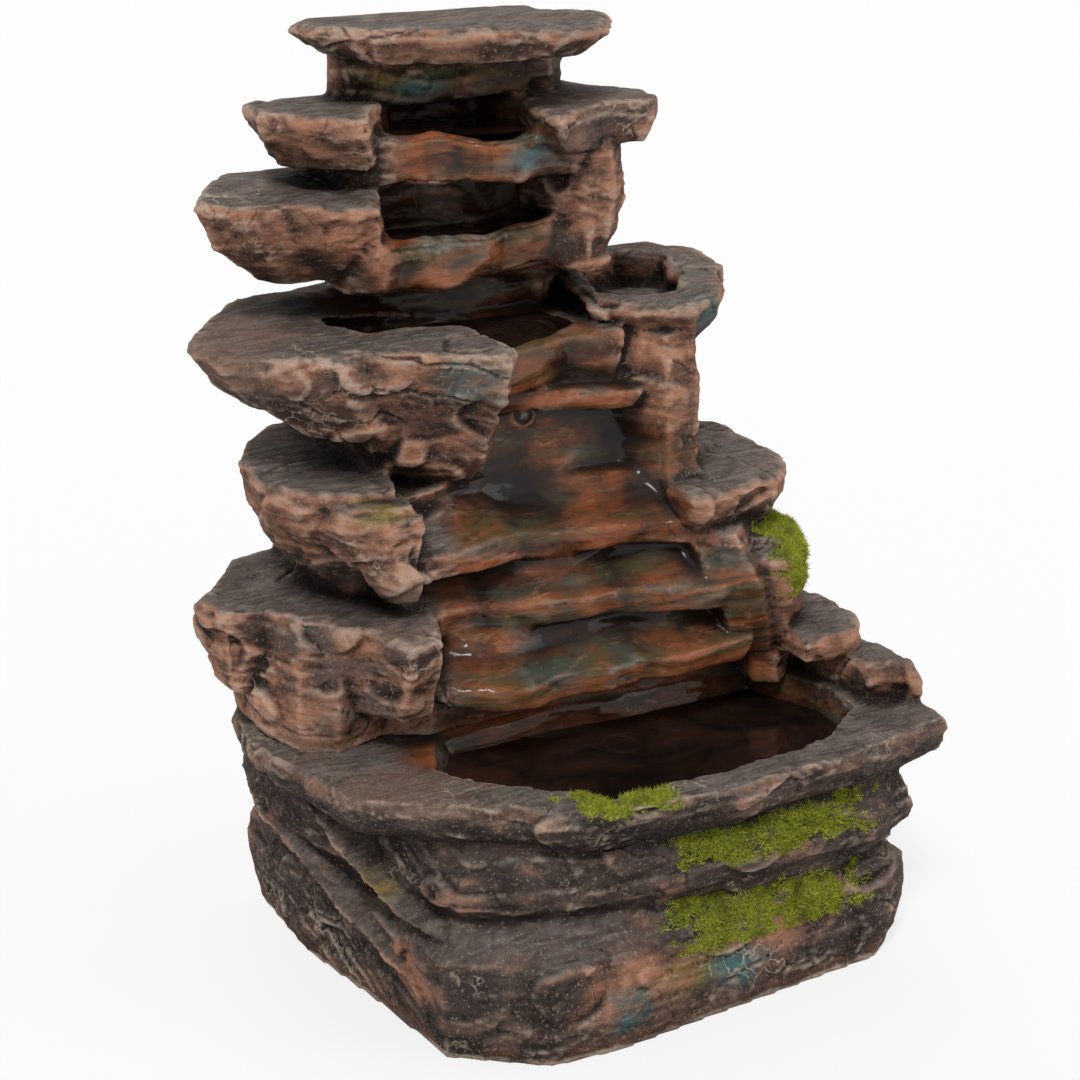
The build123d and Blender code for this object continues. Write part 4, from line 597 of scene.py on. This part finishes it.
def cascade_keep(points):
    """Carving stops in the pump chamber, the hose shaft and the seats of the fitted pieces."""
    x, y, z = points.T
    span = 1 - (1 - CHAMBER_TAPER) * np.clip((z - RIM_LEVEL) / (CHAMBER_TOP - RIM_LEVEL), 0, 1)
    chamber = x > CHAMBER_MIDDLE - CHAMBER_LEFT * span - BARE_MARGIN
    chamber &= x < CHAMBER_MIDDLE + CHAMBER_RIGHT * span + BARE_MARGIN
    chamber &= y > CHAMBER_BACK - CHAMBER_DEPTH * span - BARE_MARGIN
    chamber &= y < CHAMBER_BACK + BARE_MARGIN
    chamber &= z < CHAMBER_TOP + BARE_MARGIN
    keep = 1 - chamber.astype(float)
    keep *= 1 - inside_box(points, HATCH_LOW, HATCH_HIGH, 2.0)
    keep *= 1 - inside_box(points, HOSE_SHAFT_LOW, HOSE_SHAFT_HIGH, BARE_MARGIN)
    outlet = np.hypot(x - OUTLET_PLACE[0], y - OUTLET_PLACE[1])
    keep *= 1 - (1 - soft_step(outlet, 10.0, 14.0)) * (np.abs(z - OUTLET_LEVEL) < 10)
    keep *= soft_step(np.hypot(x - LAMP_PLACE[0], z - LAMP_PLACE[1]), 5.5, 9.0)
    keep *= soft_step(np.hypot(x - GROMMET_PLACE[0], z - GROMMET_PLACE[1]), 9.0, 13.0)
    keep *= soft_step(z, RIM_LEVEL, RIM_LEVEL + 5.0)
    return keep * (1 - BACK_CALM * soft_step(y, BACK_START, BACK_END))


def cascade_wet(points):
    """Wet down the channel between the slabs."""
    x, y, z = points.T
    left = np.interp(z, CHANNEL_LEVELS, CHANNEL_LEFT)
    right = np.interp(z, CHANNEL_LEVELS, CHANNEL_RIGHT)
    front = np.interp(z, CHANNEL_LEVELS, CHANNEL_FRONT)
    across = soft_step(x, left - 7, left + 7) * (1 - soft_step(x, right - 7, right + 7))
    below = 1 - soft_step(z, 404.0, 416.0)
    return below * across * soft_step(y, front - 8, front + 4) * (1 - soft_step(y, 100.0, 106.0))


def cascade_dip(points):
    """The layers tilt a little down to the right."""
    return 0.06 * points[:, 0]


cascade_rock = rock_blank("cascade_rock", "cascade_casting")
carve(cascade_rock, cascade_keep, cascade_wet, cascade_dip, 5.2, 200)
brush_masks(cascade_rock, cascade_wet, {
    "verdigris": [(-40.0, 66.0, 412.0, 26.0), (0.0, 24.0, 388.0, 24.0), (-62.0, -36.0, 296.0, 24.0),
                  (-134.0, 20.0, 262.0, 20.0), (84.0, 0.0, 306.0, 18.0)],
    "ochre": [(-56.0, 70.0, 420.0, 20.0), (-20.0, 66.0, 424.0, 24.0), (-112.0, -20.0, 240.0, 16.0)],
})
cascade_rock.data.materials.clear()
cascade_rock.data.materials.append(ROCK_PAINT)
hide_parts("cascade_casting")
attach(cascade_rock, "fountain")

# Sump grille
# A slotted plate of dark moulded plastic, pressed into the weir between the front pool and the sump.
# Its slots let the water back to the pump and keep gravel and leaves out.
def moulded_skin_group():
    """Spark texture of a moulded surface: a fine height, and a faint cloudiness."""
    group, start, end = new_group("moulded skin", [("Place", "NodeSocketVector")], [
        ("Height", "NodeSocketFloat"), ("Cloud", "NodeSocketFloat"),
    ])
    place = start.outputs["Place"]
    socket_value(end, "Height", speckle(group, place, 1900.0, (1, 1, 1), 2.0, 0.5))
    socket_value(end, "Cloud", speckle(group, place, 70.0, (1, 1, 1), 4.0, 0.55))
    return group


MOULDED_SKIN = moulded_skin_group()


def moulded(name, shade, rough, depth=0.00012, **sockets):
    """A moulded plastic or rubber in one shade, a little uneven in colour and shine."""
    material, tree, shader = new_material(name, **sockets)
    skin = add_node(tree, "ShaderNodeGroup", node_tree=MOULDED_SKIN)
    socket_value(skin, "Place", add_node(tree, "ShaderNodeTexCoord").outputs["Object"])
    dull, fresh = ([min(1.0, c * k) for c in shade[:3]] + [1.0] for k in (0.75, 1.2))
    cloud = skin.outputs["Cloud"]
    socket_value(shader, "Base Color", layer_over(tree, spread(tree, cloud, 0.3, 0.7), dull, fresh))
    socket_value(shader, "Roughness", spread(tree, cloud, 0.3, 0.7, rough - 0.07, rough + 0.07))
    bump = add_node(tree, "ShaderNodeBump", {
        "Strength": 0.5, "Distance": depth, "Height": skin.outputs["Height"],
    })
    socket_value(shader, "Normal", bump.outputs["Normal"])
    return material


def finish(material, *nodes):
    """Give fitted pieces their material."""
    for node in nodes:
        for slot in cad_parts[node].material_slots:
            slot.material = material


finish(moulded("grille plastic", colour(58, 52, 48), 0.5), "sump_grille")

# Pump
# A submersible pump on four rubber cups: a potted motor block, a gasket and a volute, with a slotted
# strainer that pulls off the front and a blue slider on it that throttles the flow.
BLACK_RUBBER = moulded("black rubber", colour(30, 30, 31), 0.72, 0.0002)
PUMP_PLASTIC = moulded("pump plastic", colour(44, 44, 48), 0.42)

finish(BLACK_RUBBER, "suction_cups", "pump_cable_gland", "volute_seal", "shaft_bushes")
finish(PUMP_PLASTIC, "pump_housing", "pump_volute", "pump_strainer")
finish(moulded("shaft ceramic", colour(236, 234, 228), 0.22, 0.00003), "rotor_shaft")
finish(moulded("impeller plastic", colour(222, 222, 216), 0.4), "impeller")
finish(moulded("magnet ferrite", colour(66, 66, 68), 0.6, 0.0002), "rotor_magnet")
finish(moulded("slider plastic", colour(84, 132, 186), 0.38), "flow_slider")

# Riser hose and clamps
# Soft clear tube in one length, pushed on the pump's spigot below and on the outlet above.
# A sprung steel band holds it at each end.
def drawn_metal(name, shade, rough):
    """Drawn or turned metal with fine lines and a slightly uneven shine."""
    material, tree, shader = new_material(name, Metallic=1.0)
    place = add_node(tree, "ShaderNodeTexCoord").outputs["Object"]
    lines = speckle(tree, place, 700.0, (0.15, 1, 1), 3.0, 0.6)
    dull, bright = ([min(1.0, c * k) for c in shade[:3]] + [1.0] for k in (0.8, 1.08))
    socket_value(shader, "Base Color", layer_over(tree, spread(tree, lines, 0.35, 0.65), dull, bright))
    socket_value(shader, "Roughness", spread(tree, lines, 0.35, 0.65, rough - 0.08, rough + 0.08))
    bump = add_node(tree, "ShaderNodeBump", {"Strength": 0.25, "Distance": 0.00005, "Height": lines})
    socket_value(shader, "Normal", bump.outputs["Normal"])
    return material


CLEAR_HOSE = moulded(
    "clear hose", colour(222, 226, 222), 0.22, 0.00004, Transmission_Weight=0.8, IOR=1.48,
)
finish(CLEAR_HOSE, "riser_hose")
finish(drawn_metal("clamp steel", colour(196, 196, 198), 0.3), "hose_clamps")

# Spring outlet
# A flanged tube of dark moulded plastic through the top pool's floor.
# A nut below draws its flange down on a rubber washer.
finish(moulded("outlet plastic", colour(62, 57, 52), 0.45), "spring_outlet", "outlet_nut")
finish(BLACK_RUBBER, "outlet_seal")

# Lamp
# A small lamp cast in clear resin, with a domed end.
# It is pushed into a rubber sleeve in the wall over the lower steps.
LAMP_RESIN = moulded(
    "lamp resin", colour(250, 240, 214), 0.08, 0.00002, Transmission_Weight=0.9, IOR=1.5,
)
finish(LAMP_RESIN, "lamp_lens")
finish(BLACK_RUBBER, "lamp_sleeve")

# Rear cover and cable grommet
# A moulded cover in a recess of the back, held by four slotted screws in brass inserts. A rubber grommet
# lines the hole for the lead.
finish(moulded("cover plastic", colour(84, 72, 64), 0.55, 0.0003), "rear_cover")
finish(drawn_metal("screw steel", colour(202, 202, 204), 0.28), "cover_screws")
finish(drawn_metal("insert brass", colour(220, 182, 112), 0.3), "cover_inserts")
finish(BLACK_RUBBER, "cable_grommet")

# Moss
# Yellow-green flock fibre glued in ragged pads: on the rim, in the two grooves below it and on a side
# rock. Each pad is drawn as tufts of leaning blades, rooted in the carved rock.
TUFT_BLADES = 8
BLADE_LENGTH, BLADE_RADIUS = (1.6, 4.4), 0.22
BLADE_LEAN = (0.05, 0.95)
TUFT_REACH, TUFT_ROOT = 1.5, 0.6
TUFT_SIZES = (0.5, 1.15)
TUFTS_PER_AREA = 0.924
MOSS_FACING = (0.1, -0.5, 0.86)
MOSS_LIFT = (0.0, -0.15, 0.6)


def moss_tuft():
    """One tuft of leaning blades, in millimetres."""
    rng = np.random.default_rng(7)
    model = bmesh.new()
    for _ in range(TUFT_BLADES):
        length = rng.uniform(*BLADE_LENGTH)
        turn = Matrix.Rotation(rng.uniform(0, 2 * pi), 4, "Z")
        lean = turn @ Matrix.Rotation(rng.uniform(*BLADE_LEAN), 4, "X")
        root = Matrix.Translation((*rng.uniform(-TUFT_REACH, TUFT_REACH, 2), -TUFT_ROOT))
        bmesh.ops.create_cone(
            model, segments=3, cap_ends=False, depth=length,
            radius1=BLADE_RADIUS, radius2=BLADE_RADIUS / 8,
            matrix=root @ lean @ Matrix.Translation((0, 0, length / 2)),
        )
    mesh = bpy.data.meshes.new("tuft")
    model.to_mesh(mesh)
    model.free()
    return mesh


def moss_paint():
    """Flock fibre in mixed greens, from patches of dark olive to bright yellow-green."""
    material, tree, shader = new_material("flock moss", Specular_IOR_Level=0.2)
    place = add_node(tree, "ShaderNodeTexCoord").outputs["Object"]
    fibre = speckle(tree, place, 800.0, (1, 1, 1), 2.0, 0.5)
    clump = speckle(tree, place, 120.0, (1, 1, 1), 4.0, 0.6)
    green = layer_over(tree, spread(tree, fibre, 0.36, 0.64), colour(118, 128, 30), colour(196, 200, 72))
    green = layer_over(tree, spread(tree, clump, 0.5, 0.7, 0.0, 0.7), green, colour(70, 76, 26))
    socket_value(shader, "Base Color", green)
    socket_value(shader, "Roughness", spread(tree, fibre, 0.3, 0.7, 0.7, 0.95))
    return material


def plant_moss(name, node, rock, fill, seed):
    """Tufts rooted in the carved rock where a moss pad lies, thin towards the pad's edges."""
    rng = np.random.default_rng(seed)
    low, high = (np.array(corner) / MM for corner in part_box(node))
    faces = rock.data.polygons
    centres, facing, areas = np.empty(len(faces) * 3), np.empty(len(faces) * 3), np.empty(len(faces))
    faces.foreach_get("center", centres)
    faces.foreach_get("normal", facing)
    faces.foreach_get("area", areas)
    centres, facing, areas = centres.reshape(-1, 3) / MM, facing.reshape(-1, 3), areas / MM**2
    near = inside_box(centres, low, high, 4.0) * soft_step(facing @ MOSS_FACING, 0.0, 0.4)
    inset = np.minimum(centres - low, high - centres) / (high - low)
    inset = np.minimum(soft_step(inset[:, 0], -0.05, 0.2), soft_step(inset[:, 2], -0.5, 0.35))
    clumps = rough_noise(centres / (19, 19, 9), seed + 1, 4, 0.65)
    weight = near * areas * soft_step(inset + fill + 0.8 * clumps, 0.3, 0.85)
    count = int(weight.sum() * TUFTS_PER_AREA)
    chosen = rng.choice(len(faces), count, p=weight / weight.sum())
    up = facing[chosen] * 0.8 + MOSS_LIFT + rng.normal(0, 0.3, (count, 3))
    up /= np.linalg.norm(up, axis=1)[:, None]
    side = np.cross(up, rng.normal(size=(count, 3)))
    side /= np.linalg.norm(side, axis=1)[:, None]
    sizes = rng.uniform(*TUFT_SIZES, count)
    axes = np.stack([side, np.cross(up, side), up], axis=2) * sizes[:, None, None]
    blades = np.array([v.co for v in MOSS_TUFT.vertices])
    corners = np.array([f.vertices for f in MOSS_TUFT.polygons if len(f.vertices) == 4])
    spots = centres[chosen] + side * rng.normal(0, 0.8, (count, 1))
    points = (spots[:, None, :] + np.einsum("nij,vj->nvi", axes, blades)) * MM
    quads = (corners[None] + len(blades) * np.arange(count)[:, None, None]).reshape(-1, 4)
    mesh = bpy.data.meshes.new(name)
    mesh.from_pydata(points.reshape(-1, 3).tolist(), [], quads.tolist())
    piece = bpy.data.objects.new(name, mesh)
    bpy.context.scene.collection.objects.link(piece)
    mesh.materials.append(MOSS_PAINT)
    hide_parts(node)
    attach(piece, "fountain")


MOSS_TUFT = moss_tuft()
MOSS_PAINT = moss_paint()
plant_moss("rim_moss", "moss_rim", basin_rock, 0.4, 400)
plant_moss("upper_groove_moss", "moss_ledge_upper", basin_rock, 0.0, 410)
plant_moss("lower_groove_moss", "moss_ledge_lower", basin_rock, 0.0, 420)
plant_moss("side_rock_moss", "moss_shoulder", cascade_rock, 0.2, 430)

# Water
# Still water in the pools, dark over the wet rock, with rings where a fall comes in.
# Each sheet is cut to its pool's outline and rides on the fountain, with no solid of its own.
RIPPLE_GRID = 1.5
POOLS = [
    ("front_water", 108.0,
     [(-72, -4), (-98, -50), (-82, -84), (-57, -101), (-45, -113), (4, -116), (86, -104), (116, -81),
      (120, -52), (108, -4)],
     [(10, -40, 0.25, 16)]),
    ("top_water", 399.4,
     [(-50, 99), (-58, 77), (-73, 62), (-69, 48), (-41, 42), (-18, 32), (4, 36), (22, 56), (12, 75),
      (10, 99)],
     [(-20, 88, 0.3, 8)]),
    ("second_water", 351.2,
     [(-84, 70), (-90, 45), (-63, 36), (-34, 38), (0, 50), (20, 44), (25, 60), (20, 72)],
     [(-30, 56, 0.3, 9)]),
    ("third_water", 302.2,
     [(-86, 74), (-109, 68), (-113, 46), (-100, 22), (-54, 20), (-26, 6), (7, 16), (29, 36), (26, 68)],
     [(-22, 44, 0.55, 10), (0, 40, 0.5, 9)]),
    ("shelf_water", 239.3,
     [(-26, 37), (-19, 26), (8, 20), (36, 22), (62, 27), (86, 40)],
     [(20, 28, 0.3, 8)]),
]


def inside_outline(spot, outline):
    """True where a spot lies inside an outline seen from above."""
    hit = False
    for (x0, y0), (x1, y1) in zip(outline, outline[1:] + outline[:1]):
        if (y0 > spot.y) != (y1 > spot.y) and spot.x < x0 + (spot.y - y0) * (x1 - x0) / (y1 - y0):
            hit = not hit
    return hit


def water_paint():
    """Clear brown water over dark rock, seen as one dark mirror."""
    material, tree, shader = new_material("dark water", Roughness=0.04, IOR=1.33)
    place = add_node(tree, "ShaderNodeTexCoord").outputs["Object"]
    murk = speckle(tree, place, 22.0, (1, 1, 1), 4.0, 0.6, 0.6)
    brown = layer_over(tree, spread(tree, murk, 0.4, 0.68), colour(24, 18, 15), colour(52, 33, 25))
    socket_value(shader, "Base Color", brown)
    return material


def still_water(name, level, outline, drops):
    """A sheet of water at a level, cut to a pool's outline, with rings round each drop."""
    low, high = np.min(outline, 0), np.max(outline, 0)
    steps = ((high - low) / RIPPLE_GRID).astype(int)
    model = bmesh.new()
    bmesh.ops.create_grid(model, x_segments=int(steps[0]), y_segments=int(steps[1]), size=0.5)
    bmesh.ops.scale(model, vec=(*(high - low), 1.0), verts=model.verts)
    bmesh.ops.translate(model, vec=(*(low + high) / 2, level), verts=model.verts)
    outside = [v for v in model.verts if not inside_outline(v.co, outline)]
    bmesh.ops.delete(model, geom=outside, context="VERTS")
    for vert in model.verts:
        for x, y, rise, wave in drops:
            away = np.hypot(vert.co.x - x, vert.co.y - y)
            vert.co.z += rise * np.cos(2 * pi * away / wave) * np.exp(-away / (2.2 * wave))
    bmesh.ops.scale(model, vec=(MM, MM, MM), verts=model.verts)
    mesh = bpy.data.meshes.new(name)
    model.to_mesh(mesh)
    model.free()
    mesh.shade_smooth()
    piece = bpy.data.objects.new(name, mesh)
    bpy.context.scene.collection.objects.link(piece)
    mesh.materials.append(WATER_PAINT)
    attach(piece, "fountain")


WATER_PAINT = water_paint()
for pool_name, pool_level, pool_outline, pool_drops in POOLS:
    still_water(pool_name, pool_level, pool_outline, pool_drops)

# Stage
# A plain pale floor under a white sky and three soft suns.
# The camera stands at the front left, a little above the rock.
FLOOR_SIZE = 40.0
FLOOR_GLOW = 0.72
CAMERA_PLACE = (-0.6263, -1.0416, 0.5932)
CAMERA_YAW, CAMERA_PITCH = radians(30.472), radians(17.789)
CAMERA_LENS, CAMERA_SENSOR = 86.67, 36.0
SKY_LIGHT = 0.5
SUNS = [
    ("key sun", (-0.75, -0.9, 1.5), 1.6, 13.0),
    ("fill sun", (1.2, -0.8, 0.9), 0.5, 40.0),
    ("back sun", (0.2, 1.2, 1.1), 0.5, 40.0),
]

floor_model = bmesh.new()
bmesh.ops.create_grid(floor_model, x_segments=1, y_segments=1, size=FLOOR_SIZE / 2)
floor_mesh = bpy.data.meshes.new("floor")
floor_model.to_mesh(floor_mesh)
floor_model.free()
floor = bpy.data.objects.new("floor", floor_mesh)
bpy.context.scene.collection.objects.link(floor)
floor_paint, floor_tree, floor_shader = new_material(
    "pale floor", Base_Color=colour(236, 236, 236), Roughness=0.9,
)
floor_rays = add_node(floor_tree, "ShaderNodeLightPath")
floor_white = add_node(floor_tree, "ShaderNodeEmission", {"Color": (1, 1, 1, 1), "Strength": 1.0})
floor_mix = add_node(floor_tree, "ShaderNodeMixShader")
floor_share = times(floor_tree, floor_rays.outputs["Is Camera Ray"], FLOOR_GLOW)
socket_value(floor_mix, 0, floor_share)
socket_value(floor_mix, 1, floor_shader.outputs[0])
socket_value(floor_mix, 2, floor_white.outputs[0])
socket_value(floor_tree.nodes["Material Output"], "Surface", floor_mix.outputs[0])
floor.data.materials.append(floor_paint)

world = bpy.data.worlds.new("studio")
bpy.context.scene.world = world
world.use_nodes = True
sky = world.node_tree
rays = add_node(sky, "ShaderNodeLightPath")
seen = sums(sky, "MAXIMUM", rays.outputs["Is Camera Ray"], rays.outputs["Is Transmission Ray"])
seen = sums(sky, "MAXIMUM", seen, rays.outputs["Is Glossy Ray"])
backdrop = sky.nodes["Background"]
backdrop.inputs["Color"].default_value = (1.0, 1.0, 1.0, 1.0)
socket_value(backdrop, "Strength", spread(sky, seen, 0.0, 1.0, SKY_LIGHT, 1.0))

for lamp_name, place, power, softness in SUNS:
    lamp = bpy.data.lights.new(lamp_name, "SUN")
    lamp.energy = power
    lamp.angle = radians(softness)
    holder = bpy.data.objects.new(lamp_name, lamp)
    holder.rotation_euler = Vector(place).to_track_quat("Z", "Y").to_euler()
    bpy.context.scene.collection.objects.link(holder)

lens = bpy.data.cameras.new("camera")
lens.lens = CAMERA_LENS
lens.sensor_width = CAMERA_SENSOR
viewer = bpy.data.objects.new("camera", lens)
viewer.location = CAMERA_PLACE
viewer.rotation_euler = (pi / 2 - CAMERA_PITCH, 0.0, -CAMERA_YAW)
bpy.context.scene.collection.objects.link(viewer)
bpy.context.scene.camera = viewer
bpy.context.scene.view_settings.view_transform = "Standard"
